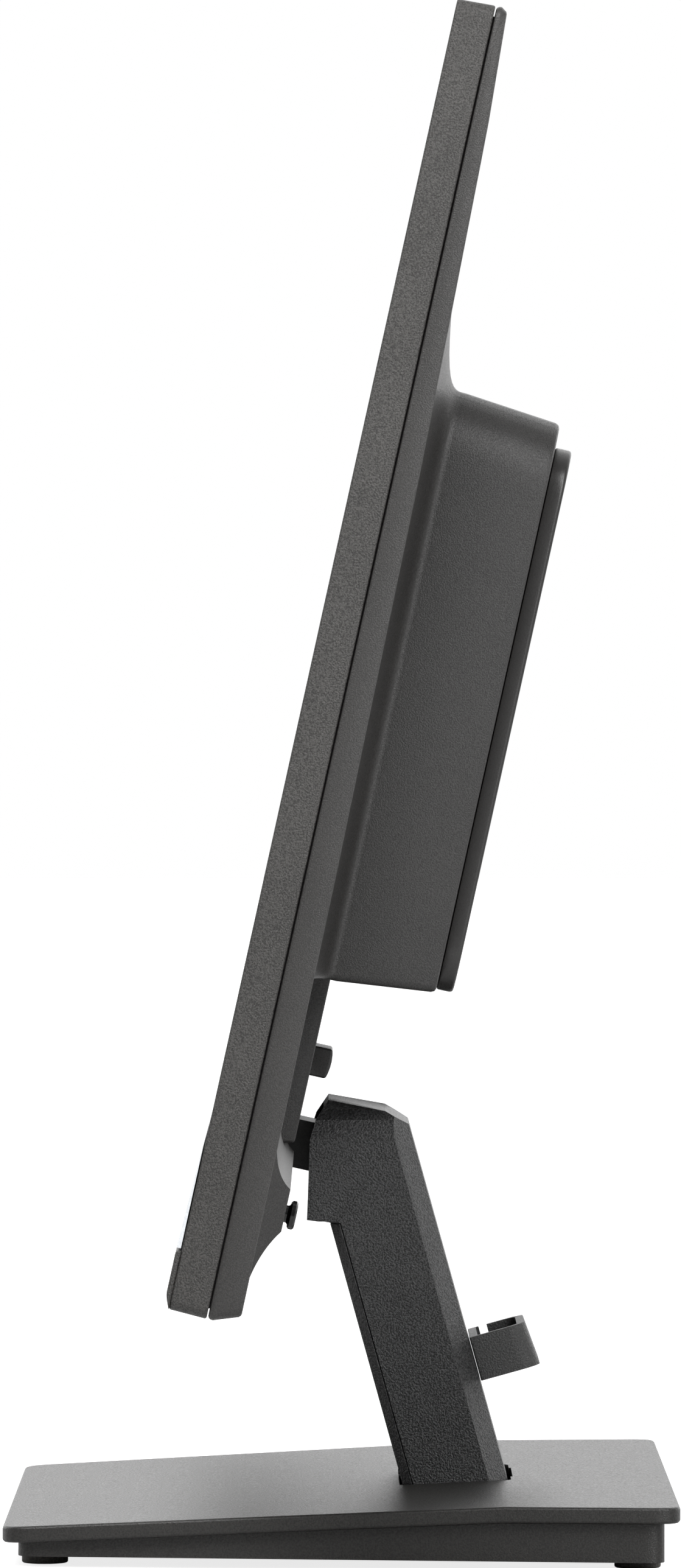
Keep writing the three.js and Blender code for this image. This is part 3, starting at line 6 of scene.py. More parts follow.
import bmesh
import bpy
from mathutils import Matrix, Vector


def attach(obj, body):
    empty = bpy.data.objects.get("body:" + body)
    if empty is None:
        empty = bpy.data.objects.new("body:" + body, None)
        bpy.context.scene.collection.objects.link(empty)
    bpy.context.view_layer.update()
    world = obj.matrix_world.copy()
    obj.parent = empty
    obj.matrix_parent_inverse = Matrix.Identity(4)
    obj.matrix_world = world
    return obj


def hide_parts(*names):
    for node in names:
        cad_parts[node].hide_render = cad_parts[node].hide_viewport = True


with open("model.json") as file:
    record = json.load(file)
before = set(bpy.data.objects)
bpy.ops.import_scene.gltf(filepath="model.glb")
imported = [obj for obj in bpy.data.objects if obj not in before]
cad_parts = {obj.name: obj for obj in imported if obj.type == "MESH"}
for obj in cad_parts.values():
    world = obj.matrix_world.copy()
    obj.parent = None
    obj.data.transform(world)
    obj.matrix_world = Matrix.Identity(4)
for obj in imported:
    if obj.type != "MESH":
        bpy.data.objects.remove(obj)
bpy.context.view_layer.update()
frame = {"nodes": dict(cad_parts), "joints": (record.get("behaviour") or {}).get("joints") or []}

MM = 0.001
JOINTS = {joint["name"]: joint for joint in frame["joints"]}

# ------------------------------------------------------------------ the screen body's own frame
# Across the screen, back from the bezel's front, and up the screen, all in millimetres.

HINGE_BACK = 39.0
HINGE_UP = 35.6
BACKWARDS = Vector(JOINTS["fan_spin"]["axis"])
UPWARDS = Vector(JOINTS["stick_left_right"]["axis"])
HINGE = Vector(JOINTS["display_tilt"]["pos_m"])


def placed(across, back, up):
    """A point given in the screen body's frame, as a point of the whole object in metres."""
    return (HINGE + Vector((across, 0, 0)) * MM
            + BACKWARDS * (back - HINGE_BACK) * MM
            + UPWARDS * (up - HINGE_UP) * MM)


def local(point):
    """A point of the whole object in metres, in the screen body's frame."""
    offset = (point - HINGE) / MM
    return Vector((offset.x, offset.dot(BACKWARDS) + HINGE_BACK, offset.dot(UPWARDS) + HINGE_UP))


def span(solid):
    """Lowest and highest corner of a solid in the screen body's frame."""
    points = [local(vertex.co) for vertex in frame["nodes"][solid].data.vertices]
    return (Vector(min(p[i] for p in points) for i in range(3)),
            Vector(max(p[i] for p in points) for i in range(3)))


# ------------------------------------------------------------------ making pieces

TOUCHING = 1e-6
FLAT_WITHIN = math.radians(1.2)
ROUNDED_SHARP = 34
EDGE_SEGMENTS = 3
BROAD_SEGMENTS = 5


def piece(name, shape, body, replaced, material, sharp):
    """Turns a finished bmesh into a piece that rides on a body and stands for a solid.

    Edges that turn more than sharp degrees stay sharp in its shading.
    """
    mesh = bpy.data.meshes.new(name)
    shape.to_mesh(mesh)
    shape.free()
    mesh.polygons.foreach_set("use_smooth", [True] * len(mesh.polygons))
    mesh.set_sharp_from_angle(angle=math.radians(sharp))
    thing = bpy.data.objects.new(name, mesh)
    bpy.context.scene.collection.objects.link(thing)
    thing.data.materials.append(material)
    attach(thing, body)
    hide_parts(replaced)
    return thing


def merged_copy(solid):
    """A copy of a solid with its triangles merged into whole faces.

    It is halved down the middle first, so that a face that runs round an opening stays two simple faces.
    """
    shape = bmesh.new()
    shape.from_mesh(frame["nodes"][solid].data)
    bmesh.ops.remove_doubles(shape, verts=shape.verts, dist=TOUCHING)
    everything = shape.verts[:] + shape.edges[:] + shape.faces[:]
    halving = bmesh.ops.bisect_plane(shape, geom=everything, dist=TOUCHING,
                                     plane_co=(0, 0, 0), plane_no=(1, 0, 0))
    for item in halving["geom_cut"]:
        if isinstance(item, bmesh.types.BMEdge):
            item.seam = True
    bmesh.ops.dissolve_limit(shape, angle_limit=FLAT_WITHIN, verts=shape.verts, edges=shape.edges,
                             delimit={"SEAM"})
    return shape


def softened(name, solid, body, material, width, angle=24, broad=None, crisp=None):
    """A copy of a solid with every edge that turns more than angle degrees rounded.

    broad is a rule that picks edges, and the width they are rounded to first. crisp is a rule that
    picks edges that stay as they are.
    """
    shape = merged_copy(solid)
    if broad:
        chosen, broad_width = broad
        bmesh.ops.bevel(shape, geom=[edge for edge in shape.edges if chosen(edge)],
                        offset=broad_width * MM, offset_type="OFFSET", segments=BROAD_SEGMENTS,
                        profile=0.5, affect="EDGES", material=-1, clamp_overlap=True)
    weights = shape.edges.layers.float.new("bevel_weight_edge")
    for edge in shape.edges:
        turns = edge.calc_face_angle(0.0) > math.radians(angle)
        edge[weights] = 1.0 if turns and not (crisp and crisp(edge)) else 0.0
    thing = piece(name, shape, body, solid, material, ROUNDED_SHARP)
    rounding = thing.modifiers.new("rounded edges", "BEVEL")
    rounding.width = width * MM
    rounding.segments = EDGE_SEGMENTS
    rounding.limit_method = "WEIGHT"
    rounding.harden_normals = True
    rounding.miter_outer = "MITER_ARC"
    return thing


# ------------------------------------------------------------------ finishes

def finish(name):
    material = bpy.data.materials.new(name)
    material.use_nodes = True
    tree = material.node_tree
    shader = tree.nodes["Principled BSDF"]
    return material, tree, shader


def node(tree, kind, **settings):
    made = tree.nodes.new(kind)
    for key, value in settings.items():
        if key in made.inputs:
            made.inputs[key].default_value = value
        else:
            setattr(made, key, value)
    return made


def noise(tree, source, scale, detail, roughness):
    made = node(tree, "ShaderNodeTexNoise", Scale=scale, Detail=detail, Roughness=roughness)
    tree.links.new(source, made.inputs["Vector"])
    return made.outputs["Fac"]


def ramp(tree, source, stops):
    """Colours between stops, each a place from 0 to 1 and a colour."""
    made = node(tree, "ShaderNodeValToRGB")
    band = made.color_ramp
    while len(band.elements) < len(stops):
        band.elements.new(0.5)
    for element, (place, color) in zip(band.elements, stops):
        element.position = place
        element.color = (*color, 1)
    tree.links.new(source, made.inputs["Fac"])
    return made.outputs["Color"]


def mixed(tree, first, second, factor):
    """A blend of two patterns."""
    made = node(tree, "ShaderNodeMix", data_type="FLOAT", Factor=factor)
    tree.links.new(first, made.inputs["A"])
    tree.links.new(second, made.inputs["B"])
    return made.outputs["Result"]


def ranged(tree, source, start, end, low=0.0, high=1.0):
    """A pattern between low and high, turned into values from start to end."""
    made = node(tree, "ShaderNodeMapRange")
    made.inputs["From Min"].default_value = low
    made.inputs["From Max"].default_value = high
    made.inputs["To Min"].default_value = start
    made.inputs["To Max"].default_value = end
    tree.links.new(source, made.inputs["Value"])
    return made.outputs["Result"]


def bumped(tree, shader, source, distance, strength=1.0):
    """Raises the surface by a pattern, as far as distance in metres."""
    made = node(tree, "ShaderNodeBump", Strength=strength, Distance=distance)
    tree.links.new(source, made.inputs["Height"])
    tree.links.new(made.outputs["Normal"], shader.inputs["Normal"])


def moulded(name, dark, light, grain, depth, rough, swing=0.08, spread=0.14):
    """Moulded plastic: a grain of small raised cells and faint mottling. grain and depth in millimetres.

    swing is how far the gloss varies, and spread how softly the dark passes into the light.
    """
    material, tree, shader = finish(name)
    place = node(tree, "ShaderNodeTexCoord").outputs["Object"]
    cells = noise(tree, place, scale=1 / (grain * MM), detail=2.5, roughness=0.62)
    patches = noise(tree, place, scale=26, detail=3.0, roughness=0.55)
    mottled = mixed(tree, cells, patches, factor=0.16)
    tone = ramp(tree, mottled, [(0.5 - spread, dark), (0.5 + spread, light)])
    gloss = ranged(tree, cells, rough + swing, rough - swing, low=0.35, high=0.65)
    tree.links.new(tone, shader.inputs["Base Color"])
    tree.links.new(gloss, shader.inputs["Roughness"])
    bumped(tree, shader, cells, depth * MM)
    return material


def plated(name, color, rough, scale=900.0):
    """Plated or drawn metal with fine rolling lines."""
    material, tree, shader = finish(name)
    stretch = node(tree, "ShaderNodeMapping")
    stretch.inputs["Scale"].default_value = (0.06, 1, 1)
    place = node(tree, "ShaderNodeTexCoord").outputs["Object"]
    tree.links.new(place, stretch.inputs["Vector"])
    lines = noise(tree, stretch.outputs["Vector"], scale, detail=3.0, roughness=0.6)
    shade = [channel * 0.72 for channel in color]
    tree.links.new(ramp(tree, lines, [(0.3, shade), (0.7, color)]), shader.inputs["Base Color"])
    tree.links.new(ranged(tree, lines, rough - 0.1, rough + 0.12), shader.inputs["Roughness"])
    bumped(tree, shader, lines, distance=0.00002, strength=0.5)
    shader.inputs["Metallic"].default_value = 1.0
    return material


def circuit(name, base, trace):
    """Solder mask with tracks and small parts showing as lighter shapes."""
    material, tree, shader = finish(name)
    blocks = node(tree, "ShaderNodeTexVoronoi", Scale=190.0)
    blocks.distance = "CHEBYCHEV"
    tree.links.new(node(tree, "ShaderNodeTexCoord").outputs["Object"], blocks.inputs["Vector"])
    tracks = ramp(tree, blocks.outputs["Distance"], [(0.28, trace), (0.34, base)])
    tree.links.new(tracks, shader.inputs["Base Color"])
    bumped(tree, shader, blocks.outputs["Distance"], distance=0.0002, strength=0.6)
    shader.inputs["Roughness"].default_value = 0.42
    return material


def panel_front():
    """Anti-glare screen, switched off: almost black, its frosting seen only as uneven gloss."""
    material, tree, shader = finish("anti-glare screen")
    place = node(tree, "ShaderNodeTexCoord").outputs["Object"]
    frost = noise(tree, place, scale=700, detail=2.0, roughness=0.5)
    smear = noise(tree, place, scale=9, detail=4.0, roughness=0.6)
    tone = ramp(tree, smear, [(0.3, (0.004, 0.004, 0.005)), (0.75, (0.008, 0.008, 0.01))])
    gloss = ranged(tree, mixed(tree, smear, frost, factor=0.3), 0.26, 0.36)
    tree.links.new(tone, shader.inputs["Base Color"])
    tree.links.new(gloss, shader.inputs["Roughness"])
    return material


BEZEL = moulded("bezel plastic", (0.014, 0.0132, 0.0122), (0.054, 0.0515, 0.0485),
                grain=0.42, depth=0.3, rough=0.45, spread=0.1)
COVER = moulded("cover plastic", (0.018, 0.0172, 0.0165), (0.035, 0.0335, 0.0322),
                grain=0.36, depth=0.12, rough=0.4, spread=0.08)
# A darker copy of the bezel's plastic: painted shade for the shadow the screen casts on the neck.
NECK_PAINTED_SHADE = moulded("neck plastic with painted shade", (0.006, 0.006, 0.0062), (0.054, 0.054, 0.0545),
               grain=0.52, depth=0.32, rough=0.35, spread=0.08)
CLIP = moulded("clip plastic", (0.03, 0.03, 0.03), (0.06, 0.06, 0.059),
               grain=0.5, depth=0.3, rough=0.42)
BASE = moulded("base plastic", (0.013, 0.0124, 0.0115), (0.03, 0.0287, 0.0268),
               grain=0.45, depth=0.12, rough=0.38, spread=0.1)
PLATE = moulded("plate plastic", (0.024, 0.0232, 0.0226), (0.036, 0.0348, 0.0338),
                grain=0.35, depth=0.02, rough=0.32)
GLOSS = moulded("glossy black", (0.006, 0.006, 0.006), (0.009, 0.009, 0.009),
                grain=1.2, depth=0.004, rough=0.16, swing=0.03)
BLACK = moulded("black coating", (0.004, 0.004, 0.004), (0.01, 0.01, 0.01),
                grain=0.3, depth=0.02, rough=0.4)
RUBBER = moulded("rubber", (0.045, 0.043, 0.039), (0.1, 0.095, 0.086),
                 grain=0.5, depth=0.06, rough=0.75, swing=0.05)
DARK = moulded("inner plastic", (0.008, 0.008, 0.009), (0.015, 0.015, 0.016),
               grain=0.5, depth=0.03, rough=0.5)
# Pale grey base colour: painted reflection of the light off the strip's glassy face.
STRIP_WITH_PAINTED_REFLECTION = moulded("clear strip with painted reflection", (0.6, 0.62, 0.64), (0.72, 0.74, 0.76),
                grain=0.6, depth=0.01, rough=0.18, swing=0.05)
WHITE = moulded("white sheet", (0.55, 0.55, 0.56), (0.65, 0.65, 0.66),
                grain=0.8, depth=0.02, rough=0.6)
ZINC = plated("zinc plate", (0.5, 0.51, 0.52), rough=0.38)
IRON = plated("raw steel", (0.16, 0.16, 0.17), rough=0.55, scale=400.0)
COPPER = plated("copper tube", (0.62, 0.3, 0.17), rough=0.32)
ALUMINIUM = plated("aluminium", (0.62, 0.63, 0.65), rough=0.36)
SHELLS = plated("plated shell", (0.6, 0.6, 0.61), rough=0.28)
BOARD = circuit("circuit board", base=(0.006, 0.035, 0.022), trace=(0.05, 0.12, 0.08))
SCREEN = panel_front()

CARRIED = {
    "base_weight_plate": IRON, "base_screw": ZINC, "neck_frame": ZINC,
    "hinge_washer_left": ZINC, "hinge_washer_right": ZINC, "hinge_pin": ZINC, "hinge_nut": ZINC,
    "backlight_unit": WHITE,
    "usb_socket_left": SHELLS, "usb_socket_right": SHELLS, "video_socket": SHELLS,
    "network_socket": SHELLS, "power_inlet": DARK, "panel_chassis": ZINC, "mainboard": BOARD,
    "processor_heat_sink": ALUMINIUM, "heat_pipe": COPPER, "memory_module": BOARD,
    "wireless_card": SHELLS, "storage_drive": ALUMINIUM, "power_board": BOARD, "fan_housing": DARK,
    "fan_rotor": DARK, "speaker_left": DARK, "speaker_right": DARK, "control_board": BOARD,
    "stick_rocker": DARK, "stick_cradle": DARK,
    "plate_screw_top_left": BLACK, "plate_screw_top_right": BLACK,
    "plate_screw_bottom_left": BLACK, "plate_screw_bottom_right": BLACK,
}
for name, material in CARRIED.items():
    carried = frame["nodes"][name].data
    carried.materials.clear()
    carried.materials.append(material)

# ------------------------------------------------------------------ pieces with rounded edges

CHIN_SEAT = 0.34
CHIN_UNDERSIDE = 0.05
CHIN_EDGE = 0.2
FOOT_LEVEL = 0.019
HEAD_LEVEL = 0.104
SHOULDER_FROM = 0.017
SHOULDER_WIDTH = 6.0
OPENING_HALF_WIDTH = 0.032
OPENING_FRONT, OPENING_REAR = -0.01, 0.065
CORNER_X = (0.026, 0.031)
CORNER_Y = (0.035, 0.06)
CORNER_WIDTH = 7.0
BASE_TURN = 36


def middle_of(edge):
    return (edge.verts[0].co + edge.verts[1].co) / 2


def foot_edge(edge):
    """The edges of the neck's foot, down inside the base."""
    return middle_of(edge).z < FOOT_LEVEL


def head_shoulder(edge):
    """The long edges of the slopes along both sides of the head's top."""
    first, second = (vertex.co for vertex in edge.verts)
    lengthwise = abs((second - first).normalized().x) < 0.1
    outer = min(abs(first.x), abs(second.x)) > SHOULDER_FROM
    return min(first.z, second.z) > HEAD_LEVEL and lengthwise and outer


def neck_opening(edge):
    """The edges of the opening in the base cover that the neck stands in."""
    place = middle_of(edge)
    return abs(place.x) < OPENING_HALF_WIDTH and OPENING_FRONT < place.y < OPENING_REAR


def opening_corner(edge):
    """The two upright rear corners of that opening, which follow the neck's chamfers."""
    place = middle_of(edge)
    upright = abs((edge.verts[1].co - edge.verts[0].co).normalized().z) > 0.9
    return CORNER_X[0] < abs(place.x) < CORNER_X[1] and CORNER_Y[0] < place.y < CORNER_Y[1] and upright


def seat_chin(chin):
    """Brings the chin's back up to the bezel and its underside level with the bezel's."""
    low, high = span("front_chin")
    for vertex in chin.data.vertices:
        spot = local(vertex.co)
        closer = CHIN_SEAT if spot.y > high.y - CHIN_EDGE else 0
        lower = low.z - CHIN_UNDERSIDE if spot.z < low.z + CHIN_EDGE else 0
        vertex.co = placed(spot.x, spot.y + closer, spot.z - lower)


softened("bezel", "front_bezel", "display", BEZEL, width=0.5)
seat_chin(softened("chin", "front_chin", "display", BEZEL, width=0.9))
softened("release_button", "stand_release_button", "release", PLATE, width=0.6)
softened("neck_front", "neck_front_cover", "stand", NECK_PAINTED_SHADE, width=0.3, crisp=foot_edge)
softened("neck_rear", "neck_rear_cover", "stand", NECK_PAINTED_SHADE, width=0.5,
         broad=(head_shoulder, SHOULDER_WIDTH), crisp=foot_edge)
softened("lead_clip", "cable_clip", "stand", CLIP, width=0.5)
softened("base_cover", "base_top_cover", "stand", BASE, width=0.8, angle=BASE_TURN,
         broad=(opening_corner, CORNER_WIDTH), crisp=neck_opening)
softened("tray", "base_tray", "stand", BASE, width=0.8, angle=BASE_TURN)
softened("bracket", "hinge_bracket", "display", BLACK, width=0.4)
softened("screen", "screen_panel", "display", SCREEN, width=0.3)
softened("lens_strip", "front_lens_strip", "display", STRIP_WITH_PAINTED_REFLECTION, width=0.3)
for corner in ("front_left", "front_right", "rear_left", "rear_right"):
    softened(f"{corner}_foot", f"foot_{corner}", "stand", RUBBER, width=0.5)


# ------------------------------------------------------------------ back cover

WIDE = span("back_cover")[1].x
TALL = span("front_bezel")[1].z
GAP = 0.3
SEAM = span("front_bezel")[1].y + GAP
RIM_BENDS = [(0.0, 17.6), (0.35, 17.0), (0.65, 15.9), (0.91, 13.9), (1.0, 12.4)]
HOUSING_WIDE = 160.0
HOUSING_LOW = 83.5
HOUSING_HIGH = 235.8
HOUSING_BACK = span("rear_plate")[0].y - GAP
HOUSING_CORNER = 15.0
HOUSING_DRAFT = 0.1
COVE_REACH = 24.0
COVE_END = 23.4
COVE_STEPS = 12
WALL = 2.0
SIDE_STEPS = 26
END_STEPS = 14
CORNER_STEPS = 7
OUTER_CORNER = 3.0
SMALLEST_CORNER = 0.8
LIP_INSET, LIP_REACH = 2.6, 0.6
SEAM_ROUND = [(0.9, 0.0), (0.35, 0.2), (0.05, 0.7), (0.0, 1.3)]
REAR_ROUND = [(0.6, 1.5, 0.0, -0.6), (0.8, 1.7, 0.1, -0.18), (1.2, 1.7, 0.2, 0.0), (3.0, 1.7, 0.2, 0.0)]
FLAT_INSET, FLAT_TOP = 40, 30
FLAT_LOW_CORNER, FLAT_HIGH_CORNER = 6, 12
HOUSING_LOW_CORNER = 2.0
COVE_POWER = 3.6
HOUSING_ROUND = [(1.2, 0.0), (0.35, 0.3), (0.0, 1.0)]


def rim_back(up):
    """How far back the rim reaches at a height."""
    share = min(max(up / TALL, 0), 1)
    for (low, back_low), (high, back_high) in zip(RIM_BENDS, RIM_BENDS[1:]):
        if share <= high:
            return back_low + (back_high - back_low) * (share - low) / (high - low)
    return RIM_BENDS[-1][1]


def outline(x0, x1, u0, u1, low_radius, high_radius):
    """Points of a rounded rectangle, always in the same number and order."""
    corners = [
        (x1 - low_radius, u0 + low_radius, low_radius, -90),
        (x1 - high_radius, u1 - high_radius, high_radius, 0),
        (x0 + high_radius, u1 - high_radius, high_radius, 90),
        (x0 + low_radius, u0 + low_radius, low_radius, 180),
    ]
    points = []
    for index, (cx, cu, radius, start) in enumerate(corners):
        for step in range(CORNER_STEPS + 1):
            angle = math.radians(start + 90 * step / CORNER_STEPS)
            points.append((cx + radius * math.cos(angle), cu + radius * math.sin(angle)))
        nx, nu, next_radius, next_start = corners[(index + 1) % 4]
        begin = math.radians(next_start)
        target = (nx + next_radius * math.cos(begin), nu + next_radius * math.sin(begin))
        count = SIDE_STEPS if index % 2 == 0 else END_STEPS
        here = points[-1]
        for step in range(1, count):
            share = step / count
            points.append((here[0] + (target[0] - here[0]) * share,
                           here[1] + (target[1] - here[1]) * share))
    return points


def lofted(rings):
    """A closed body, one outline extruded from ring to ring.

    A ring is its points and a rule that gives how far back each of them lies.
    """
    shape = bmesh.new()
    order = shape.verts.layers.int.new("order")
    points, back = rings[0]
    for index, (x, u) in enumerate(points):
        vertex = shape.verts.new(placed(x, back(x, u), u))
        vertex[order] = index
    cap = shape.faces.new(shape.verts)
    bmesh.ops.duplicate(shape, geom=[cap])
    for points, back in rings[1:]:
        grown = bmesh.ops.extrude_face_region(shape, geom=[cap])["geom"]
        old = cap
        cap = next(item for item in grown if isinstance(item, bmesh.types.BMFace))
        bmesh.ops.delete(shape, geom=[old], context="FACES_ONLY")
        for vertex in cap.verts:
            x, u = points[vertex[order]]
            vertex.co = placed(x, back(x, u), u)
    bmesh.ops.remove_doubles(shape, verts=shape.verts, dist=1e-7)
    bmesh.ops.recalc_face_normals(shape, faces=shape.faces)
    return shape


def inset_outline(inset, extra_low=0.0, extra_high=0.0):
    """The cover's outline, drawn in all round and a little more at its foot and its top."""
    radius = max(OUTER_CORNER - inset, SMALLEST_CORNER)
    return outline(-WIDE + inset, WIDE - inset, inset + extra_low, TALL - inset - extra_high,
                   radius, radius)


def flat(back):
    """A ring that lies all at one depth."""
    return lambda x, u: back


def rim(offset):
    """A ring that follows the rim's back, which is thicker low down."""
    return lambda x, u: rim_back(u) + offset


def cove_ring(share):
    """Part of the hollow curve from the rim's flat back into the housing's sides."""
    reach = COVE_REACH * (1 - share) ** COVE_POWER
    return (
        outline(-HOUSING_WIDE - reach, HOUSING_WIDE + reach, HOUSING_LOW, HOUSING_HIGH + reach,
                HOUSING_LOW_CORNER, HOUSING_CORNER + reach),
        lambda x, u: rim_back(u) + (COVE_END - rim_back(u)) * share,
    )


def housing_ring(back, inset):
    """A ring of the housing's drafted sides."""
    lean = (back - COVE_END) * HOUSING_DRAFT + inset
    return (
        outline(-HOUSING_WIDE + lean, HOUSING_WIDE - lean, HOUSING_LOW + lean, HOUSING_HIGH - lean,
                max(HOUSING_LOW_CORNER - inset, SMALLEST_CORNER), HOUSING_CORNER - inset),
        flat(back),
    )


def cover_shape():
    """The cover's outside: the lip, the rim, the hollow curve and the housing."""
    rings = [(inset_outline(LIP_INSET), flat(SEAM - LIP_REACH)), (inset_outline(LIP_INSET), flat(SEAM))]
    rings += [(inset_outline(inset), flat(SEAM + back)) for inset, back in SEAM_ROUND]
    rings += [(inset_outline(inset, low, high), rim(back)) for inset, low, high, back in REAR_ROUND]
    rings.append((outline(-WIDE + FLAT_INSET, WIDE - FLAT_INSET, FLAT_INSET, TALL - FLAT_TOP,
                          FLAT_LOW_CORNER, FLAT_HIGH_CORNER), rim(0.0)))
    rings += [cove_ring(step / COVE_STEPS) for step in range(COVE_STEPS + 1)]
    rings += [housing_ring(HOUSING_BACK - short, inset) for short, inset in HOUSING_ROUND]
    return lofted(rings)


POD_TOP, POD_CREST, POD_HEEL, POD_FOOT = 43.5, 33.5, 22.9, 7.5
POD_RIM, POD_BACK = 17.2, 22.8
POD_SWELL, POD_RUN = 1.2, 6
POD_HOLLOW, POD_HOLLOW_UP = 4.2, 2.5
POD_WIDE = 242.0
POD_STEPS = 10
POD_DRAFT, POD_DRAFT_FROM = 0.5, 12.0
SPINE_WIDE, SPINE_BACK, SPINE_LOW = 78, 22.2, 36
SPINE_DRAFT = 1.5
SPINE_ROUND = 0.8
INSIDE = 14.0
RECESS_WIDE, RECESS_BACK, RECESS_HIGH = 36, 18.6, 48
HINGE_WINDOW = (14.5, 26.7, 42.5)
BUTTON_HOLE = (12.3, 52.7, 61.3)
STICK_X, STICK_UP, STICK_HOLE = 205, 25.8, 3.5
SOCKET_ROOM = 0.3
SOCKET_CUT = (HOUSING_LOW - 3, HOUSING_LOW + 4)
VENT_BACKS = (28, 42)
VENT_CUT = (HOUSING_HIGH - 6, HOUSING_HIGH + 4)
WELL_BEHIND = 30
SOCKETS = ("usb_socket_left", "usb_socket_right", "video_socket", "network_socket", "power_inlet")
VENT_COUNT = 26
VENT_PITCH = 8.0
VENT_WIDTH = 2.6


def curve(start, pull, end):
    """Points along a smooth curve that leaves one end and reaches the other by way of a pull."""
    points = []
    for step in range(POD_STEPS + 1):
        t = step / POD_STEPS
        points.append(tuple((1 - t) ** 2 * a + 2 * t * (1 - t) * b + t * t * c
                            for a, b, c in zip(start, pull, end)))
    return points


def pod_shape():
    """The bulge across the bottom of the cover, behind the speakers and the controls."""
    shape = bmesh.new()
    profile = [(INSIDE, POD_FOOT)]
    profile += curve((POD_RIM, POD_FOOT), (POD_RIM + POD_SWELL, POD_HEEL - POD_RUN), (POD_BACK, POD_HEEL))
    profile += curve((POD_BACK, POD_CREST), (POD_BACK - POD_HOLLOW, POD_CREST + POD_HOLLOW_UP),
                     (POD_RIM, POD_TOP))
    profile.append((INSIDE, POD_TOP))
    first = [shape.verts.new(placed(-POD_WIDE, v, u)) for v, u in profile]
    face = shape.faces.new(first)
    grown = bmesh.ops.extrude_face_region(shape, geom=[face])["geom"]
    moved = [item for item in grown if isinstance(item, bmesh.types.BMVert)]
    bmesh.ops.translate(shape, verts=moved, vec=(2 * POD_WIDE * MM, 0, 0))
    for vertex in shape.verts:
        here = local(vertex.co)
        vertex.co.x -= math.copysign(max(here.y - POD_DRAFT_FROM, 0) * POD_DRAFT * MM, here.x)
    bmesh.ops.recalc_face_normals(shape, faces=shape.faces)
    return shape


def boxed(shape, xs, backs, ups):
    """Adds a box between two limits each way, in the screen body's frame."""
    made = bmesh.ops.create_cube(shape, size=1)["verts"]
    for vertex in made:
        vertex.co = placed(xs[vertex.co.x > 0], backs[vertex.co.y > 0], ups[vertex.co.z > 0])
    return made


def spine_shape():
    """The raised block between the housing and the hinge."""
    shape = bmesh.new()
    ups = (SPINE_LOW, HOUSING_LOW + 2)
    for vertex in boxed(shape, (-SPINE_WIDE, SPINE_WIDE), (INSIDE, SPINE_BACK), ups):
        here = local(vertex.co)
        if here.y > INSIDE + 1:
            lift = SPINE_DRAFT if here.z < SPINE_LOW + 1 else 0
            vertex.co = placed(here.x - math.copysign(SPINE_DRAFT, here.x), here.y, here.z + lift)
    bmesh.ops.bevel(shape, geom=shape.edges[:], offset=SPINE_ROUND * MM, segments=3, profile=0.5,
                    affect="EDGES", material=-1)
    return shape


def round_hole(shape, x, up, radius, backs):
    made = bmesh.ops.create_cone(shape, cap_ends=True, segments=32, radius1=radius, radius2=radius, depth=1)
    for vertex in made["verts"]:
        vertex.co = placed(x + vertex.co.x, backs[vertex.co.z > 0], up + vertex.co.y)


def pocket_cuts():
    """The recess that the neck's head swings into."""
    shape = bmesh.new()
    boxed(shape, (-RECESS_WIDE, RECESS_WIDE), (RECESS_BACK, 60), (-5, RECESS_HIGH))
    return shape


def through_cuts():
    """Every hole through the wall: hinge window, release button, stick, vents and sockets."""
    shape = bmesh.new()
    for (half, low, high), front in ((HINGE_WINDOW, 10), (BUTTON_HOLE, 15)):
        boxed(shape, (-half, half), (front, WELL_BEHIND), (low, high))
    round_hole(shape, STICK_X, STICK_UP, STICK_HOLE, (16, WELL_BEHIND))
    for low, high in map(span, SOCKETS):
        boxed(shape, (low.x - SOCKET_ROOM, high.x + SOCKET_ROOM),
              (low.y - SOCKET_ROOM, high.y + SOCKET_ROOM), SOCKET_CUT)
    for slot in range(VENT_COUNT):
        middle = (slot - (VENT_COUNT - 1) / 2) * VENT_PITCH
        boxed(shape, (middle - VENT_WIDTH / 2, middle + VENT_WIDTH / 2), VENT_BACKS, VENT_CUT)
    bmesh.ops.recalc_face_normals(shape, faces=shape.faces)
    return shape


def workpiece(shape):
    """A plain object to cut or join, made from a bmesh."""
    mesh = bpy.data.meshes.new("workpiece")
    bmesh.ops.recalc_face_normals(shape, faces=shape.faces)
    shape.to_mesh(mesh)
    shape.free()
    thing = bpy.data.objects.new("workpiece", mesh)
    bpy.context.scene.collection.objects.link(thing)
    return thing


def worked(thing):
    """The mesh that a workpiece's modifiers give it."""
    graph = bpy.context.evaluated_depsgraph_get()
    return bpy.data.meshes.new_from_object(thing.evaluated_get(graph))


def combined(base, shape, operation):
    """Joins a shape to a workpiece, or cuts it out."""
    tool = workpiece(shape)
    change = base.modifiers.new("combine", "BOOLEAN")
    change.operation = operation
    change.solver = "EXACT"
    change.object = tool
    base.data = worked(base)
    base.modifiers.clear()
    bpy.data.objects.remove(tool)


def cover_body():
    """The cover as a moulded wall: the outer form, hollowed from the front, with its holes."""
    body = workpiece(cover_shape())
    combined(body, pod_shape(), "UNION")
    combined(body, spine_shape(), "UNION")
    combined(body, pocket_cuts(), "DIFFERENCE")
    opened = bmesh.new()
    opened.from_mesh(body.data)
    front = [face for face in opened.faces
             if all(local(vertex.co).y < SEAM - LIP_REACH / 2 for vertex in face.verts)]
    bmesh.ops.delete(opened, geom=front, context="FACES_ONLY")
    opened.to_mesh(body.data)
    opened.free()
    wall = body.modifiers.new("wall", "SOLIDIFY")
    wall.thickness = WALL * MM
    wall.offset = -1
    body.data = worked(body)
    body.modifiers.clear()
    combined(body, through_cuts(), "DIFFERENCE")
    result = bmesh.new()
    result.from_mesh(body.data)
    bmesh.ops.dissolve_degenerate(result, edges=result.edges, dist=TOUCHING)
    bpy.data.objects.remove(body)
    return result


piece("cover", cover_body(), "display", "back_cover", COVER, sharp=30)

# ------------------------------------------------------------------ service plate

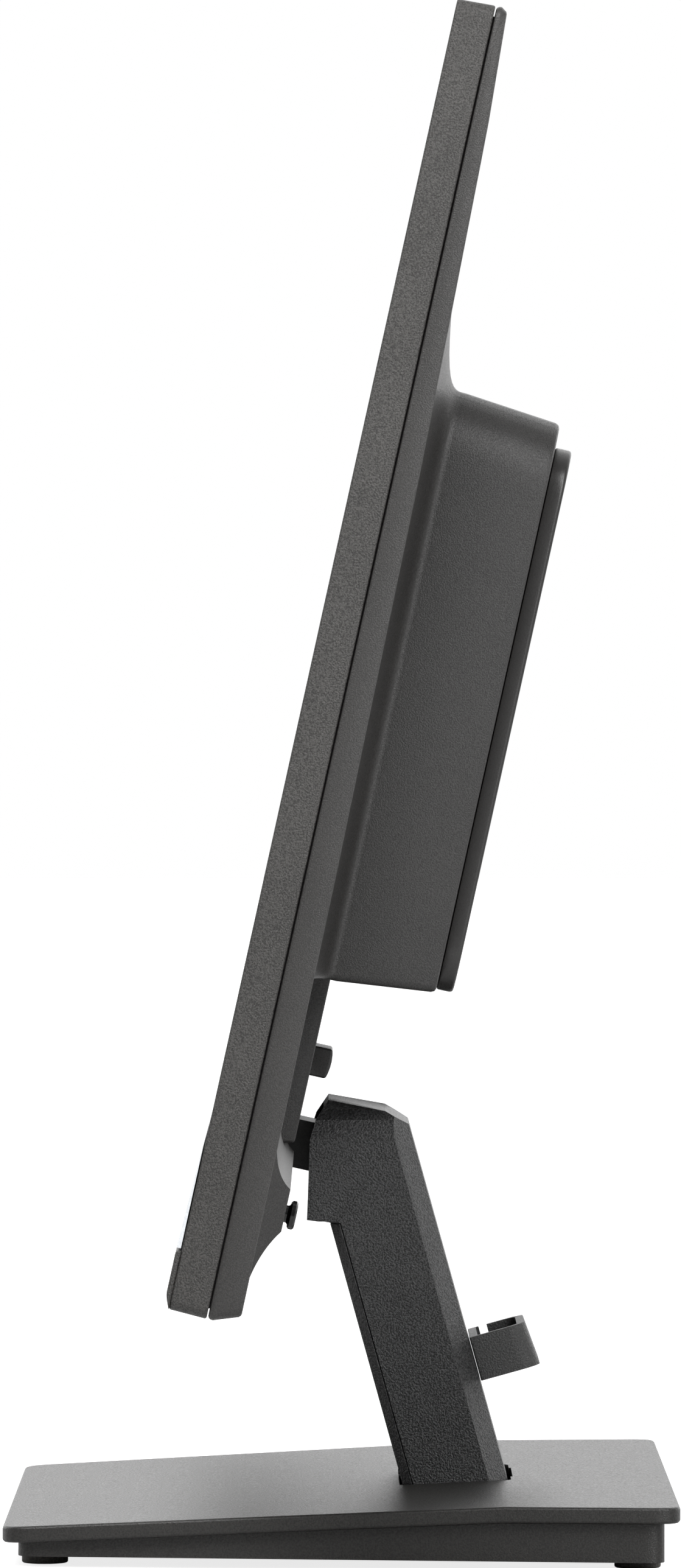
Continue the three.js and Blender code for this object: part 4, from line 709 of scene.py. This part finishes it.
PLATE_CORNER = 12.0
PLATE_FRONT_ROUND = [(0.5, 0.0), (0.12, 0.12), (0.0, 0.5)]
PLATE_BACK_ROUND = [(0.0, 0.9), (0.14, 0.4), (0.4, 0.14), (0.9, 0.0)]
MOUNT_PITCH = 100.0
MOUNT_HOLE = 2.2
SCREW_ROOM = 0.25
LARGE_FACE = 0.001
PLATE_SCREWS = [name for name in frame["nodes"] if name.startswith("plate_screw")]


def plate_shape():
    """The flat cover plate on the housing, with its wall-mount and screw holes."""
    low, high = span("rear_plate")

    def ring(inset, back):
        corner = PLATE_CORNER - inset
        edge = outline(low.x + inset, high.x - inset, low.z + inset, high.z - inset, corner, corner)
        return edge, flat(back)

    rings = [ring(inset, low.y + depth) for inset, depth in PLATE_FRONT_ROUND]
    rings += [ring(inset, high.y - depth) for inset, depth in PLATE_BACK_ROUND]
    body = workpiece(lofted(rings))
    holes = bmesh.new()
    through = (low.y - 2, high.y + 2)
    middle = (low.z + high.z) / 2
    for side in (-1, 1):
        for level in (-1, 1):
            round_hole(holes, side * MOUNT_PITCH / 2, middle + level * MOUNT_PITCH / 2, MOUNT_HOLE, through)
    for screw in PLATE_SCREWS:
        first, last = span(screw)
        radius = (last.x - first.x) / 2 + SCREW_ROOM
        round_hole(holes, (first.x + last.x) / 2, (first.z + last.z) / 2, radius, through)
    bmesh.ops.recalc_face_normals(holes, faces=holes.faces)
    combined(body, holes, "DIFFERENCE")
    result = bmesh.new()
    result.from_mesh(body.data)
    bpy.data.objects.remove(body)
    return result


plate = piece("service_plate", plate_shape(), "display", "rear_plate", PLATE, sharp=30)
for face in plate.data.polygons:
    face.use_smooth = face.area < LARGE_FACE


# ------------------------------------------------------------------ four-way stick

SPIGOT, SHAFT, THROAT = 1.2, 2.15, 2.5
SPIGOT_LONG = 2.4
STICK_STEPS = 40


def stick_shape():
    """A flat mushroom cap on a short shaft, turned."""
    low, high = span("control_stick")
    middle = (low + high) / 2
    cap_radius = (high.x - low.x) / 2
    shape = bmesh.new()
    profile = [
        (0.0, low.y), (SPIGOT, low.y), (SPIGOT, low.y + SPIGOT_LONG), (SHAFT, low.y + SPIGOT_LONG),
        (SHAFT, high.y - 2.3), (THROAT, high.y - 1.9), (cap_radius - 0.5, high.y - 1.8),
        (cap_radius, high.y - 1.4), (cap_radius, high.y - 0.5), (cap_radius - 0.45, high.y - 0.06),
        (cap_radius - 1.2, high.y), (0.0, high.y - 0.35),
    ]
    points = [shape.verts.new(placed(middle.x + radius, back, middle.z)) for radius, back in profile]
    edges = [shape.edges.new(pair) for pair in zip(points, points[1:])]
    bmesh.ops.spin(shape, geom=points + edges, cent=placed(middle.x, 0, middle.z), axis=BACKWARDS,
                   angle=math.tau, steps=STICK_STEPS, use_merge=True)
    bmesh.ops.remove_doubles(shape, verts=shape.verts, dist=TOUCHING)
    bmesh.ops.recalc_face_normals(shape, faces=shape.faces)
    return shape


piece("four-way_stick", stick_shape(), "stick", "control_stick", GLOSS, sharp=40)

# ------------------------------------------------------------------ floor

FLOOR_HALF = 8
FLOOR_TONE = 0.6
FLOOR_GLOW = 0.8

floor_shape = bmesh.new()
bmesh.ops.create_grid(floor_shape, x_segments=1, y_segments=1, size=FLOOR_HALF)
floor_mesh = bpy.data.meshes.new("floor")
floor_shape.to_mesh(floor_mesh)
floor_shape.free()
floor = bpy.data.objects.new("floor", floor_mesh)
bpy.context.scene.collection.objects.link(floor)
floor_material, floor_tree, floor_shader = finish("pale floor")
floor_shader.inputs["Base Color"].default_value = (FLOOR_TONE, FLOOR_TONE, FLOOR_TONE, 1)
floor_shader.inputs["Emission Color"].default_value = (1, 1, 1, 1)
floor_ray = node(floor_tree, "ShaderNodeLightPath")
floor_glow = node(floor_tree, "ShaderNodeMix", data_type="FLOAT", A=0.0, B=FLOOR_GLOW)
floor_tree.links.new(floor_ray.outputs["Is Camera Ray"], floor_glow.inputs["Factor"])
floor_tree.links.new(floor_glow.outputs["Result"], floor_shader.inputs["Emission Strength"])
floor_shader.inputs["Roughness"].default_value = 0.7
floor.data.materials.append(floor_material)

# ------------------------------------------------------------------ light
# White to the eye, but as a light it is bright behind the object and dim on the camera's side.

BACKDROP = [(0.0, (1.0, 1.0, 1.0)), (0.35, (0.5, 0.5, 0.5)), (0.6, (0.1, 0.1, 0.1)), (1.0, (0.1, 0.1, 0.1))]
BACKDROP_LIGHT = 1.7

world = bpy.data.worlds.new("studio")
bpy.context.scene.world = world
world.use_nodes = True
sky = world.node_tree
background = sky.nodes["Background"]
direction = node(sky, "ShaderNodeTexCoord")
axes = node(sky, "ShaderNodeSeparateXYZ")
sky.links.new(direction.outputs["Generated"], axes.inputs["Vector"])
shift = node(sky, "ShaderNodeMath", operation="MULTIPLY_ADD")
shift.inputs[1].default_value = 0.5
shift.inputs[2].default_value = 0.5
sky.links.new(axes.outputs["X"], shift.inputs[0])
ray = node(sky, "ShaderNodeLightPath")
seen = node(sky, "ShaderNodeMix", data_type="RGBA")
sky.links.new(ray.outputs["Is Camera Ray"], seen.inputs["Factor"])
sky.links.new(ramp(sky, shift.outputs["Value"], BACKDROP), seen.inputs["A"])
seen.inputs["B"].default_value = (1, 1, 1, 1)
sky.links.new(seen.outputs["Result"], background.inputs["Color"])
power = node(sky, "ShaderNodeMix", data_type="FLOAT", A=BACKDROP_LIGHT, B=1.0)
sky.links.new(ray.outputs["Is Camera Ray"], power.inputs["Factor"])
sky.links.new(power.outputs["Result"], background.inputs["Strength"])


def softbox(name, place, target, size, watts):
    """A rectangular lamp that faces a point."""
    lamp = bpy.data.lights.new(name, "AREA")
    lamp.shape = "RECTANGLE"
    lamp.size, lamp.size_y = size
    lamp.energy = watts
    thing = bpy.data.objects.new(name, lamp)
    bpy.context.scene.collection.objects.link(thing)
    thing.location = place
    thing.rotation_euler = (Vector(target) - Vector(place)).to_track_quat("-Z", "Y").to_euler()


softbox("key", place=(0.95, -0.3, 0.95), target=(0.2, 0, 0.3), size=(0.5, 0.65), watts=11)
softbox("fill", place=(1.0, 0.65, 0.72), target=(0.1, 0, 0.2), size=(0.35, 1.1), watts=10.5)

# ------------------------------------------------------------------ camera

SENSOR = 36.0
FOCAL_SHARE = 6.9243012
CAMERA_DISTANCE = 2.9
CAMERA_HEIGHT = 0.2391
DOWN = math.radians(0.755)

camera_data = bpy.data.cameras.new("camera")
camera_data.sensor_fit = "VERTICAL"
camera_data.sensor_height = SENSOR
camera_data.sensor_width = SENSOR
camera_data.lens = FOCAL_SHARE * SENSOR
camera_data.clip_end = 50
camera = bpy.data.objects.new("camera", camera_data)
camera.location = (CAMERA_DISTANCE, 0, CAMERA_HEIGHT)
camera.rotation_euler = (math.radians(90) - DOWN, 0, math.radians(90))
bpy.context.scene.collection.objects.link(camera)
bpy.context.scene.camera = camera
bpy.context.scene.view_settings.view_transform = "Standard"
